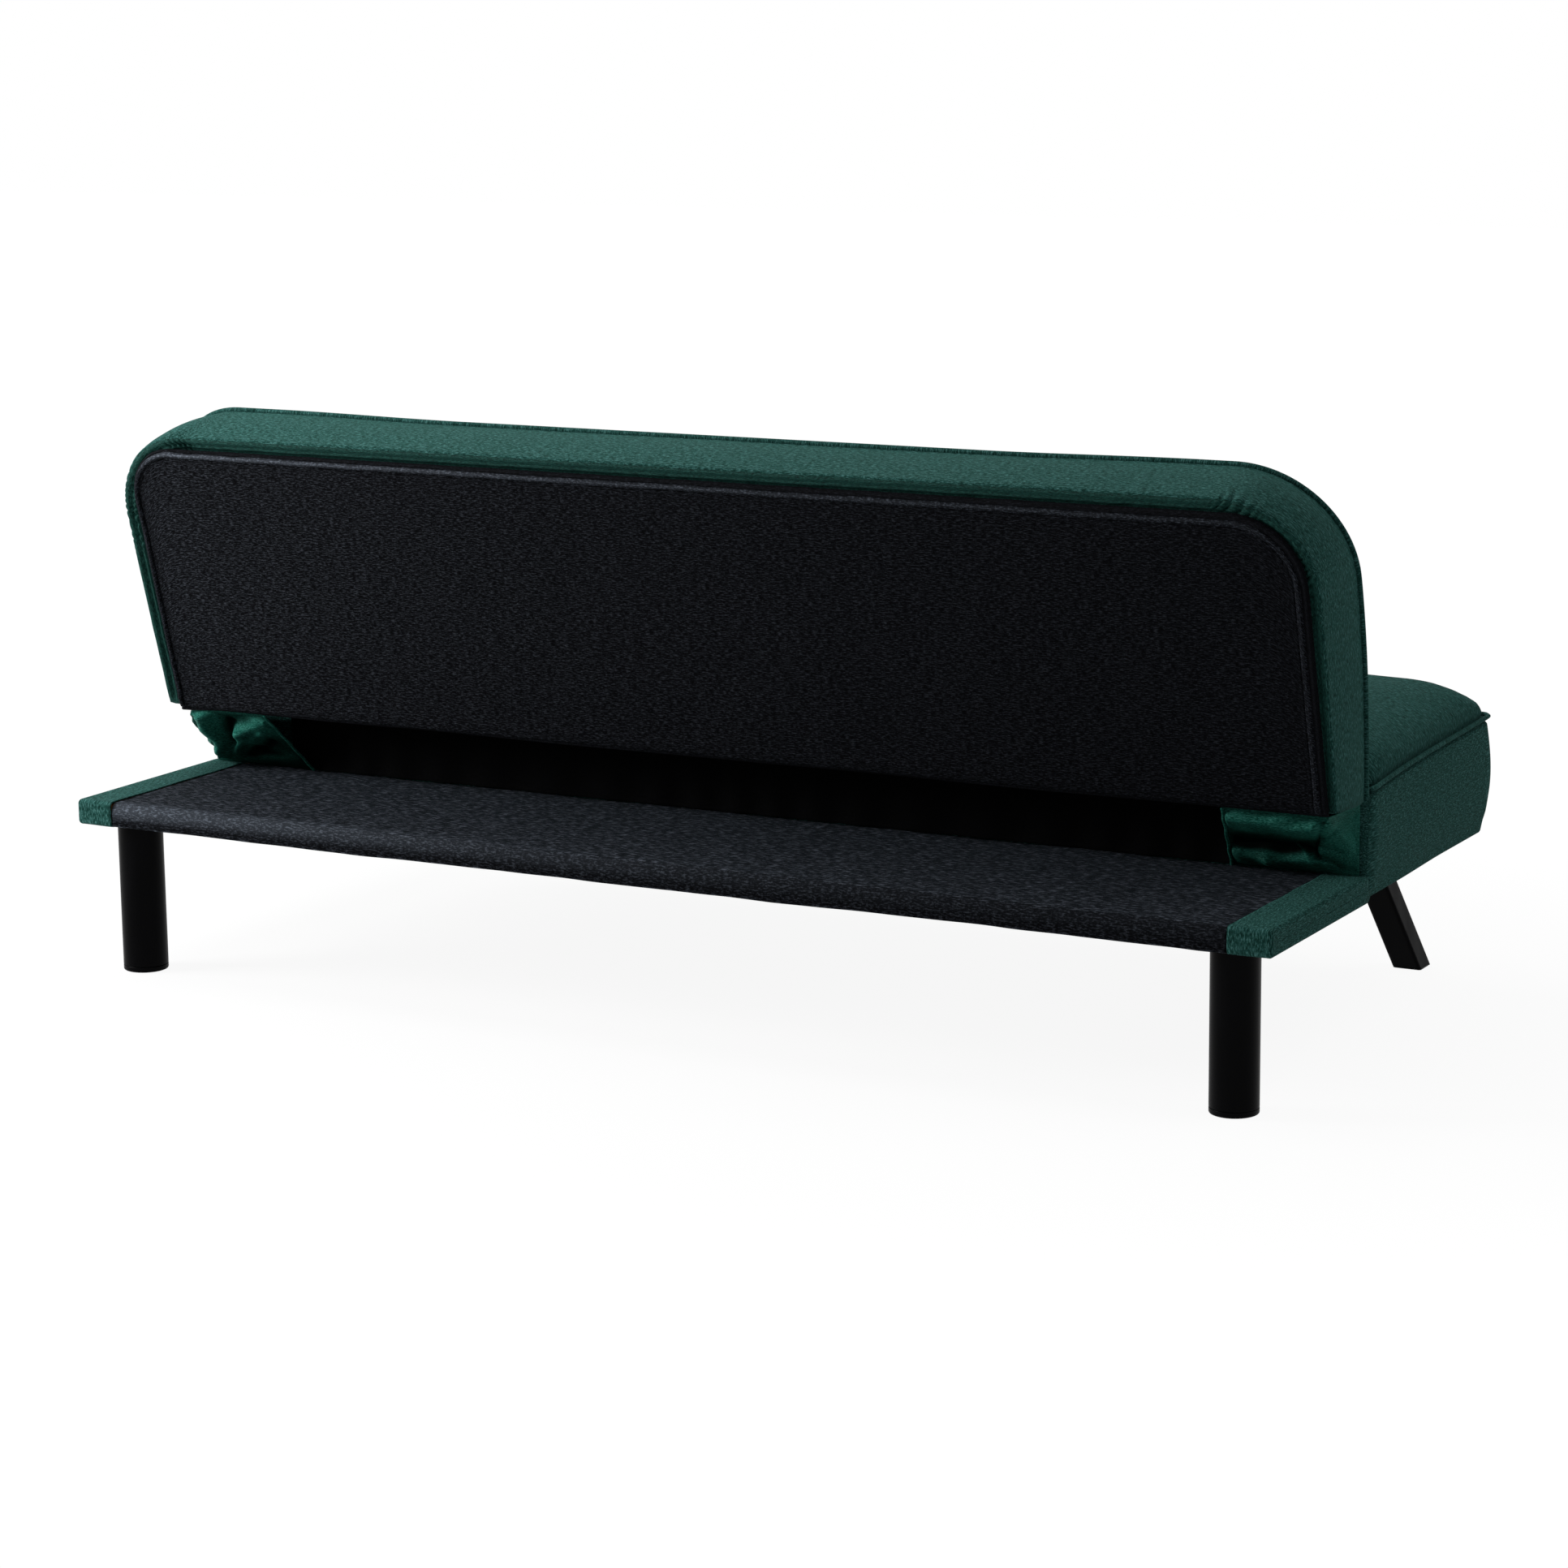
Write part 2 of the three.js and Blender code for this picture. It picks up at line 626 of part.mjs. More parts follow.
// Half the back's width at a height, for an outline with rounded upper corners
function roundedHalf(height, half, top, radius) {
  const past = height - (top - radius);
  if (past <= 0) return half;
  return half - radius + Math.sqrt(Math.max(0, radius ** 2 - past ** 2));
}

const backHalf = (height) => roundedHalf(height, back_half_width, back_top_front, back_corner_radius);

// The pad's front edge, forward of the pivot, at a height
function backEdge(height) {
  const share = (height - back_bottom_front) / (back_top_front - back_bottom_front);
  const belly = back_front_belly * Math.sin(Math.PI * Math.min(1, Math.max(0, share)));
  return back_front_low + (back_front_high - back_front_low) * share + belly;
}

function backRows() {
  const rows = [];
  const length_steps = 7;
  const corner_steps = 6;
  const knee = back_top_front - back_corner_radius;
  for (let i = 0; i < length_steps; i++)
    rows.push(back_bottom_front + (knee - back_bottom_front) * (1 - Math.cos((Math.PI / 2) * (i / length_steps))));
  for (let i = 0; i <= corner_steps; i++)
    rows.push(knee + back_corner_radius * Math.sin((Math.PI / 2) * (i / corner_steps)));
  return rows;
}

function backCushion() {
  const shape = cushion({
    columns: back_columns,
    rows: backRows(),
    half: backHalf,
    face: (u, v, a, b) => backEdge(b) + back_crown * (1 - Math.abs(u) ** 10) * (1 - v ** 4),
    wall: (share, normal, edge, b) => {
      const swell = Math.sin(Math.PI * share);
      const top = Math.max(0, normal.y) * (back_top_bulge * swell - (back_top_front - back_top_rear) * share);
      const low_share = (back_top_front - b) / (back_top_front - back_bottom_front);
      const lifted = (back_bottom_rear - back_bottom_front) * share * low_share;
      const edge_to_rear = edge + (-back_rear_plane - edge) * share;
      return [normal.x * swell * back_side_bulge, top + lifted, edge_to_rear];
    },
    place: (a, b, c) => [a, -c, b],
  });
  const cavity_outline = outlineShape(-overrun, back_top_rear - back_wall, back_half_width - back_wall,
    back_corner_radius - back_wall);
  const cavity = towardsFront(cavity_outline, back_rear_plane + overrun, cavity_front);
  const slots = bothEnds(slot_inner, slot_outer, -back_front_low + overrun, back_rear_plane + overrun,
    -overrun, arm_knee + arm_radius);
  return cut(shape, cavity, ...slots);
}

// A flat outline with rounded upper corners, in (x, height)
function outlineShape(bottom, top, half, radius) {
  const shape = new THREE.Shape();
  shape.moveTo(-half, bottom);
  shape.lineTo(half, bottom);
  shape.absarc(half - radius, top - radius, radius, 0, Math.PI / 2, false);
  shape.absarc(radius - half, top - radius, radius, Math.PI / 2, Math.PI, false);
  shape.closePath();
  return shape;
}

// Points round an outline's sides and top, from the right foot to the left foot
function outlinePoints(bottom, top, half, radius, depthAt) {
  const points = [];
  const side_steps = 6;
  const corner_steps = 8;
  const top_steps = 8;
  const push = (x, height) => points.push(new THREE.Vector3(x, depthAt(height), height));
  for (let i = 0; i < side_steps; i++) push(half, bottom + (top - radius - bottom) * (i / side_steps));
  for (let i = 0; i < corner_steps; i++) {
    const angle = (Math.PI / 2) * (i / corner_steps);
    push(half - radius + radius * Math.cos(angle), top - radius + radius * Math.sin(angle));
  }
  for (let i = 0; i <= top_steps / 2; i++) push((half - radius) * (1 - (2 * i) / top_steps), top);
  const mirrored = points.slice(0, -1).reverse();
  mirrored.forEach((point) => points.push(new THREE.Vector3(-point.x, point.y, point.z)));
  return points;
}

function backTrim() {
  const welt_path = outlinePoints(back_bottom_front, back_top_front + welt_seat,
    back_half_width + welt_seat, back_corner_radius + welt_seat,
    (height) => -backEdge(height) - welt_seat);
  const welt = tube(welt_path, welt_radius);
  const panel = towardsFront(outlineShape(back_bottom_rear, panel_top, panel_half_width, panel_corner_radius),
    panel_rear, back_rear_plane + clearance);
  const stand_off = piping_radius + 2 * clearance;
  const piping_depth = back_rear_plane + clearance + piping_radius;
  const piping_path = outlinePoints(back_bottom_rear, panel_top + stand_off, panel_half_width + stand_off,
    panel_corner_radius + stand_off, () => piping_depth);
  const piping = tube(piping_path, piping_radius);
  return [
    named("back_welt", welt, colours.green),
    named("back_panel", panel, colours.black),
    named("back_panel_piping", piping, colours.black),
  ];
}

function backFramePieces() {
  const frame_bottom = back_bottom_rear + clearance;
  const inner_top = back_top_rear - back_wall - clearance;
  const half = back_half_width - back_wall - clearance;
  const top_rail_low = inner_top - back_top_rail_height;
  const arc = outlineShape(frame_bottom, inner_top, half, back_corner_radius - back_wall - clearance);
  const below = block(-half - overrun, half + overrun, -back_rear_plane, back_rear_plane + overrun,
    frame_bottom - overrun, top_rail_low);
  const top_rail = cut(towardsFront(arc, frame_rear, back_frame_front), below);
  const upright = block(upright_outer - upright_width, upright_outer, back_frame_front, frame_rear,
    frame_bottom, top_rail_low - clearance);
  const bottom_half = upright_outer - upright_width - clearance;
  const bottom_rail = block(-bottom_half, bottom_half, back_frame_front, frame_rear, frame_bottom,
    frame_bottom + back_rail_height);
  const centre = block(-upright_width / 2, upright_width / 2, back_frame_front, frame_rear,
    frame_bottom + back_rail_height + clearance, top_rail_low - clearance);
  const straps = [];
  const web_front = back_frame_front - clearance;
  const web_rear = web_front - webbing_thickness + clearance;
  const upright_straps = Math.floor(bottom_half / webbing_pitch);
  for (let i = -upright_straps; i <= upright_straps; i++)
    straps.push(block(i * webbing_pitch - webbing_width / 2, i * webbing_pitch + webbing_width / 2,
      web_rear, web_front, frame_bottom, inner_top - webbing_width));
  const row_space = (top_rail_low - frame_bottom - back_rail_height) / (webbing_rows + 1);
  for (let i = 1; i <= webbing_rows; i++) {
    const level = frame_bottom + back_rail_height + i * row_space;
    straps.push(block(-bottom_half, bottom_half, web_rear, web_front, level - webbing_width / 2,
      level + webbing_width / 2));
  }
  return [
    named("back_top_rail", top_rail, colours.wood),
    ...pair("back_upright", upright, colours.wood),
    named("back_bottom_rail", bottom_rail, colours.wood),
    named("back_centre_upright", centre, colours.wood),
    named("back_webbing", joined(...straps), colours.webbing),
  ];
}

// Hinges: a toothed arm on the back, a plate on the seat, and a pawl between them

// A place on the toothed rim: angle from straight down towards the rear
const onRim = (radius, angle) => [radius * Math.sin(angle), -radius * Math.cos(angle)];

function toothedSector() {
  const shape = new THREE.Shape();
  const degree = Math.PI / 180;
  const first = release_angle - sector_margin;
  const last = notch_angles[notch_angles.length - 1] + sector_margin;
  const root = tooth_tip_radius - notch_depth;
  const mouth = notch_mouth / 2 / tooth_tip_radius;
  const floor = notch_floor / 2 / root;
  const arc_steps = 3;
  const corners = [];
  notch_angles.forEach((angle, index) => {
    const middle = angle * degree;
    if (index) corners.push([tooth_tip_radius, middle - mouth], [root, middle - floor]);
    else corners.push([root, first * degree]);
    corners.push([root, middle + floor], [tooth_tip_radius, middle + mouth]);
    const next = index + 1 < notch_angles.length ? notch_angles[index + 1] * degree - mouth : last * degree;
    for (let i = 1; i < arc_steps; i++)
      corners.push([tooth_tip_radius, middle + mouth + ((next - middle - mouth) * i) / arc_steps]);
  });
  corners.push([tooth_tip_radius, last * degree]);
  shape.moveTo(...onRim(plate_boss_radius / 2, ((first + last) * degree) / 2 + Math.PI));
  corners.forEach(([radius, angle]) => shape.lineTo(...onRim(radius, angle + recline)));
  shape.closePath();
  return shape;
}

function backArm() {
  const knee = [(frame_rear + back_frame_front) / 2, arm_knee];
  const top = [knee[0], arm_top];
  const x1 = arm_inner + arm_thickness;
  const neck = alongX(linkShape([0, 0], knee, plate_boss_radius, arm_radius), arm_inner, x1);
  const strip = alongX(linkShape(knee, top, arm_radius, arm_radius), arm_inner, x1);
  const sector = alongX(toothedSector(), arm_inner, x1);
  const hole = rodAlongX(pivot_pin_radius + pin_play, arm_inner - overrun, x1 + overrun, 0, 0);
  const spaces = 3;
  const holes = [];
  for (let i = 1; i <= spaces; i++)
    holes.push(rodAlongX(screw_hole_radius, arm_inner - overrun, x1 + overrun, top[0],
      arm_knee + ((arm_top - arm_knee) * i) / spaces, small_facets));
  return cut(joined(neck, strip, sector), hole, ...holes);
}

function seatPlate() {
  const pivot = [pivot_y, pivot_height];
  const pawl = [pawl_pin_y, pawl_pin_z];
  const tab = [pivot_y - plate_tab_reach, pivot_height - plate_tab_drop];
  const x1 = plate_inner + plate_thickness;
  const head = alongX(linkShape(pivot, pawl, plate_boss_radius, plate_pawl_radius), plate_inner, x1);
  const tail = alongX(linkShape(pawl, tab, plate_pawl_radius, plate_tab_radius), plate_inner, x1);
  const through = (radius, y, z, facets) =>
    rodAlongX(radius, plate_inner - overrun, x1 + overrun, y, z, facets);
  return cut(joined(head, tail),
    through(pivot_pin_radius + pin_play, ...pivot, round_facets),
    through(pawl_pin_radius + pin_play, ...pawl, round_facets),
    through(screw_hole_radius, tab[0], tab[1], small_facets),
    through(screw_hole_radius, (tab[0] + pawl[0]) / 2, (tab[1] + pawl[1]) / 2, small_facets));
}

function pawl() {
  const nose_y = pivot_y;
  const nose_z = pivot_height - tooth_tip_radius - pawl_lift;
  const toe = [nose_y - nose_root_width / 4, nose_z - nose_height];
  const x1 = arm_inner + arm_thickness;
  const beam = linkShape([pawl_pin_y, pawl_pin_z], toe, pawl_heel_radius, pawl_toe_radius);
  const nose = new THREE.Shape();
  nose.moveTo(nose_y - nose_root_width / 2, nose_z - nose_height);
  nose.lineTo(nose_y + nose_root_width / 2, nose_z - nose_height);
  nose.lineTo(nose_y + nose_tip_width / 2, nose_z);
  nose.lineTo(nose_y - nose_tip_width / 2, nose_z);
  nose.closePath();
  const hole = rodAlongX(pawl_pin_radius + pin_play, arm_inner - overrun, x1 + overrun,
    pawl_pin_y, pawl_pin_z);
  return cut(joined(alongX(beam, arm_inner, x1), alongX(nose, arm_inner, x1)), hole);
}

// A turned pin along x with a head at its inner end, and one at its outer end where there is room
function headedPin(radius, head_start, outer_head, y, z) {
  const shank_end = outer_head
    ? plate_inner + plate_thickness + clearance
    : plate_inner + plate_thickness - clearance;
  const pieces = [
    rodAlongX(pin_inner_head_radius, head_start, head_start + pin_head_thickness, y, z),
    rodAlongX(radius, head_start + pin_head_thickness / 2, shank_end + (outer_head ? clearance : 0), y, z),
  ];
  if (outer_head) pieces.push(rodAlongX(pin_head_radius, shank_end, shank_end + pin_head_thickness, y, z));
  return joined(...pieces);
}

function torsionSpring() {
  const points = [];
  const turn_steps = 8;
  const total = torsion_turns * turn_steps;
  const start = arm_inner - clearance - torsion_wire / 2;
  for (let i = 0; i <= total; i++) {
    const angle = (2 * Math.PI * i) / turn_steps;
    points.push(new THREE.Vector3(start - (torsion_pitch * i) / turn_steps,
      pawl_pin_y + torsion_radius * Math.cos(angle), pawl_pin_z + torsion_radius * Math.sin(angle)));
  }
  return tube(points, torsion_wire / 2, 5);
}

function hingeBasePieces() {
  return [
    ...pair("hinge_seat_plate", seatPlate(), colours.zinc),
    ...pair("hinge_pivot_pin",
      headedPin(pivot_pin_radius, pivot_pin_inner, true, pivot_y, pivot_height), colours.zinc),
    ...pair("hinge_pawl_pin",
      headedPin(pawl_pin_radius, pawl_pin_inner, false, pawl_pin_y, pawl_pin_z), colours.zinc),
    ...pair("hinge_pawl_spring", torsionSpring(), colours.zinc),
    ...pair("hinge_pawl", pawl(), colours.zinc),
  ];
}

// Cloth between back and ledge

function gusset() {
  const head = pad_low - clearance - cloth_thickness / 2;
  const foot = ledge_top + clearance + cloth_thickness / 2;
  const rear_top = fromRear(ledge_depth - gusset_top_advance);
  const rear_foot = fromRear(ledge_depth - gusset_foot_advance);
  const side_front = fromRear(ledge_depth - cloth_thickness);
  return clothSheet(...gusset_grid, cloth_thickness, (u, v) => {
    const on_rear = Math.min(1, u / gusset_turn_share);
    const on_side = Math.max(0, (u - gusset_turn_share) / (1 - gusset_turn_share));
    const top_y = rear_top + (side_front - rear_top) * on_side;
    const foot_y = rear_foot + (side_front - rear_foot) * on_side;
    const fade = Math.sin(Math.PI * v);
    const slack = gusset_fold * fade * Math.sin(2 * Math.PI * (gusset_folds * v + u));
    const drawn_in = on_side > 0 ? Math.abs(slack) + gusset_draw * fade : 0;
    const billow = on_side > 0 ? 0 : slack * Math.SQRT1_2;
    const point = new THREE.Vector3(
      gusset_inner + (gusset_outer - gusset_inner) * on_rear - drawn_in,
      top_y + (foot_y - top_y) * v + billow,
      head + (foot - head) * v + billow);
    const normal = on_side > 0 ? new THREE.Vector3(1, 0, 0) : new THREE.Vector3(0, 1, -1).normalize();
    return [point, normal];
  });
}

function curtain() {
  const head = pad_low - clearance - cloth_thickness / 2;
  const foot = ledge_top + clearance;
  return clothSheet(...curtain_grid, cloth_thickness, (u, v) => {
    const advance = curtain_head_advance + (curtain_foot_advance - curtain_head_advance) * v;
    const fold = curtain_fold * Math.sin(2 * Math.PI * curtain_folds * u) * Math.sqrt(v);
    const x = (gusset_inner - cloth_thickness) * (2 * u - 1);
    const point = new THREE.Vector3(x, fromRear(ledge_depth - advance) + fold, head + (foot - head) * v);
    return [point, new THREE.Vector3(0, 1, 0)];
  });
}

// Legs

function rearLegPieces() {
  const top = ledge_underside - clearance;
  const x = half_width - rear_leg_inset;
  const y = fromRear(rear_leg_from_edge);
  const inner = rear_leg_radius - rear_leg_wall;
  const hole = bolt_radius + clearance;
  const low = glide_height + clearance;
  const profile = [
    [hole, top], [hole, top - rear_leg_top_wall], [inner, top - rear_leg_top_wall], [inner, low],
    [rear_leg_radius, low], [rear_leg_radius, top - rear_leg_edge], [rear_leg_radius - rear_leg_edge, top],
    [hole, top],
  ];
  const turned = (points) =>
    new THREE.LatheGeometry(points.map((p) => new THREE.Vector2(...p)), round_facets)
      .rotateX(Math.PI / 2)
      .translate(x, y, 0);
  const spigot = inner - clearance;
  const glide = [
    [0, 0], [rear_leg_radius - rear_leg_edge, 0], [rear_leg_radius, rear_leg_edge],
    [rear_leg_radius, glide_height], [spigot, glide_height], [spigot, glide_height + glide_spigot],
    [0, glide_height + glide_spigot],
  ];
  const head_top = top - rear_leg_top_wall - clearance;
  const bolt = [
    [0, head_top - bolt_head_height], [bolt_head_radius, head_top - bolt_head_height],
    [bolt_head_radius, head_top], [bolt_radius, head_top], [bolt_radius, base_low + bolt_bite],
    [0, base_low + bolt_bite],
  ];
  return [
    ...pair("rear_leg", turned(profile), colours.plastic),
    ...pair("rear_leg_glide", turned(glide), colours.plastic),
    ...pair("rear_leg_bolt", turned(bolt), colours.zinc),
  ];
}

// A block whose level sections all have one size, leaning forward and outward from its foot
function leaningBlock(size, low, high, x, y) {
  const geometry = block(-size / 2, size / 2, -size / 2, size / 2, low, high);
  const shear = new THREE.Matrix4().set(1, 0, -foot_splay, x, 0, 1, foot_lean, y, 0, 0, 1, 0, 0, 0, 0, 1);
  return geometry.applyMatrix4(shear);
}

function frontLegPieces() {
  const x = half_width - foot_inset;
  const y = -depth / 2 + foot_size / 2;
  const top = leg_plate_low - clearance;
  const bore = foot_size - 2 * foot_wall;
  const leg = cut(leaningBlock(foot_size, foot_cap_height + clearance, top, x, y),
    leaningBlock(bore, 0, top - foot_wall, x, y));
  const cap = joined(leaningBlock(foot_size, 0, foot_cap_height, x, y),
    leaningBlock(bore - 2 * clearance, foot_cap_height / 2, foot_cap_height + foot_cap_plug, x, y));
  const plate_x = x - foot_splay * top;
  const plate_y = y + foot_lean * top;
  const outline = new THREE.Shape();
  const [a, b] = [leg_plate_length / 2 - leg_plate_corner, leg_plate_width / 2 - leg_plate_corner];
  outline.absarc(a, b, leg_plate_corner, 0, Math.PI / 2, false);
  outline.absarc(-a, b, leg_plate_corner, Math.PI / 2, Math.PI, false);
  outline.absarc(-a, -b, leg_plate_corner, Math.PI, 1.5 * Math.PI, false);
  outline.absarc(a, -b, leg_plate_corner, 1.5 * Math.PI, 2 * Math.PI, false);
  const flat = new THREE.ExtrudeGeometry(outline,
    { depth: leg_plate_thickness, bevelEnabled: false, curveSegments: 3 }).translate(plate_x, plate_y, leg_plate_low);
  const heads = [];
  for (const side of [-1, 1])
    for (const end of [-1, 1])
      heads.push(rodAlongZ(leg_bolt_head, leg_plate_low - leg_bolt_rise, leg_plate_low + leg_plate_thickness / 2,
        plate_x + side * (leg_plate_length / 2 - leg_bolt_inset),
        plate_y + end * (leg_plate_width / 2 - leg_bolt_inset), tube_facets));
  return [
    ...pair("front_leg", leg, colours.paint),
    ...pair("front_leg_cap", cap, colours.plastic),
    ...pair("front_leg_plate", joined(flat, ...heads), colours.paint),
  ];
}

// Assembly

const sofa = new THREE.Group();
sofa.add(
  ...basePieces(),
  named("seat_cushion", seatCushion(), colours.green),
  named("seat_welt", seatWelt(), colours.green),
  ...seatFramePieces(),
  ...hingeBasePieces(),
  ...pair("gusset", gusset(), colours.green),
  named("rear_curtain", curtain(), colours.lining),
  ...rearLegPieces(),
  ...frontLegPieces(),
);

const back = new THREE.Group();
back.position.set(0, pivot_y, pivot_height);
back.rotation.x = -recline;
back.add(
  named("back_cushion", backCushion(), colours.green),
  ...backTrim(),
  ...backFramePieces(),
  ...pair("hinge_back_arm", backArm(), colours.zinc),
);
sofa.add(back);

export default sofa;
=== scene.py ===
"""A click clack sofa bed: its soft goods, finishes, studio and camera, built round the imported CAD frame."""

import logging
from dataclasses import dataclass, field
from enum import Enum

import bmesh
import bpy
import numpy as np
from mathutils import Matrix, Vector


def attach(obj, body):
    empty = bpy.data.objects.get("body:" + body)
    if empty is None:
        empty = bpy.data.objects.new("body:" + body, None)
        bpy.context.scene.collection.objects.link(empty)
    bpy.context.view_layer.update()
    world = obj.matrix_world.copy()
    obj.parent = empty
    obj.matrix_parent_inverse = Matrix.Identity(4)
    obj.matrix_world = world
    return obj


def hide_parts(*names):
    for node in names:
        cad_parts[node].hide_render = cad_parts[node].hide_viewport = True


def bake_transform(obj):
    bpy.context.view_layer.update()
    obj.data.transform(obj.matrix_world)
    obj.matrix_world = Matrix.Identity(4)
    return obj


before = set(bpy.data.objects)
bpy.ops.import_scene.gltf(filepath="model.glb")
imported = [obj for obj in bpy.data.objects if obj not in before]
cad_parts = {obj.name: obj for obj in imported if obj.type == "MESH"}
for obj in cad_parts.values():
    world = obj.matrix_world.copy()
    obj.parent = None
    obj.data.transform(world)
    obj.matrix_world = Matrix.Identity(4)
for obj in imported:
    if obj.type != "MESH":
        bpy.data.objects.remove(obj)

LOG = logging.getLogger("sofa_bed")
Array = np.ndarray


class Body(Enum):
    """The CAD bodies that a piece may ride on."""

    BASE = "base"
    BACK = "back"


class Side(Enum):
    """The two ends of the sofa, by the sign of x there."""

    LEFT = -1
    RIGHT = 1

    @property
    def word(self) -> str:
        """The end's name as the CAD nodes carry it."""
        return self.name.lower()


class Grain(Enum):
    """Where a finish reads its pattern from."""

    WEAVE = "the piece's own weave map, in metres"
    OBJECT = "the place in the sofa's frame, in metres"


@dataclass(frozen=True)
class Layout:
    """Sizes that several sub-assemblies share, in metres, in the frame of the CAD."""

    half_width: float = 0.9
    rear_edge: float = 0.4335
    ledge_top: float = 0.2475
    ledge_low: float = 0.2139
    ledge_depth: float = 0.323
    pivot_y: float = 0.1315
    pivot_z: float = 0.328
    recline: float = float(np.radians(15.0))

    def from_rear(self, reach: Array | float) -> Array | float:
        """The y of a place that lies a distance in front of the ledge's rear edge."""
        return self.rear_edge - reach

    def reclined(self, across: Array, forward: Array, up: Array) -> Array:
        """Places on the back: across, forward and up about the pivot, turned rearward by the recline.

        Args:
            across: distance along the sofa.
            forward: distance in front of the pivot, square to the back's rear face.
            up: distance above the pivot, along that face.

        Returns:
            The points in the sofa's frame, on a new last axis.
        """
        cos, sin = np.cos(self.recline), np.sin(self.recline)
        y = self.pivot_y - forward * cos + up * sin
        z = self.pivot_z + forward * sin + up * cos
        return np.stack(np.broadcast_arrays(across, y, z), -1)


LAYOUT = Layout()


# Shapes as whole arrays


def bump(distance: Array, width: float) -> Array:
    """A smooth ridge: one at distance zero, falling off as a bell of that width."""
    return np.exp(-((distance / width) ** 2))


def ease(share: Array) -> Array:
    """A smooth step from zero to one."""
    share = np.clip(share, 0.0, 1.0)
    return share * share * (3 - 2 * share)


def ripple(places: Array, pitch: float, seed: int, waves: int = 7) -> Array:
    """Gentle unevenness: a sum of sines with seeded directions, pitches near the given one, and phases.

    Args:
        places: points, on the last axis.
        pitch: the usual length of a wave, in metres.
        seed: chooses the waves.
        waves: how many there are.

    Returns:
        Heights between about minus one and one.
    """
    rng = np.random.default_rng(seed)
    turns = rng.normal(size=(waves, places.shape[-1]))
    turns /= np.linalg.norm(turns, axis=1, keepdims=True)
    turns *= rng.uniform(0.6, 1.6, (waves, 1)) * 2 * np.pi / pitch
    phase = rng.uniform(0, 2 * np.pi, waves)
    return np.sin(places @ turns.T + phase).sum(-1) / np.sqrt(waves * 2)


def unit(vectors: Array) -> Array:
    """The vectors on the last axis, each made one long."""
    return vectors / np.maximum(np.linalg.norm(vectors, axis=-1, keepdims=True), 1e-12)


def lengths_along(points: Array) -> Array:
    """The distance walked from the first point of a path to each of its points."""
    steps = np.linalg.norm(np.diff(points, axis=0), axis=-1)
    return np.concatenate([[0.0], np.cumsum(steps)])


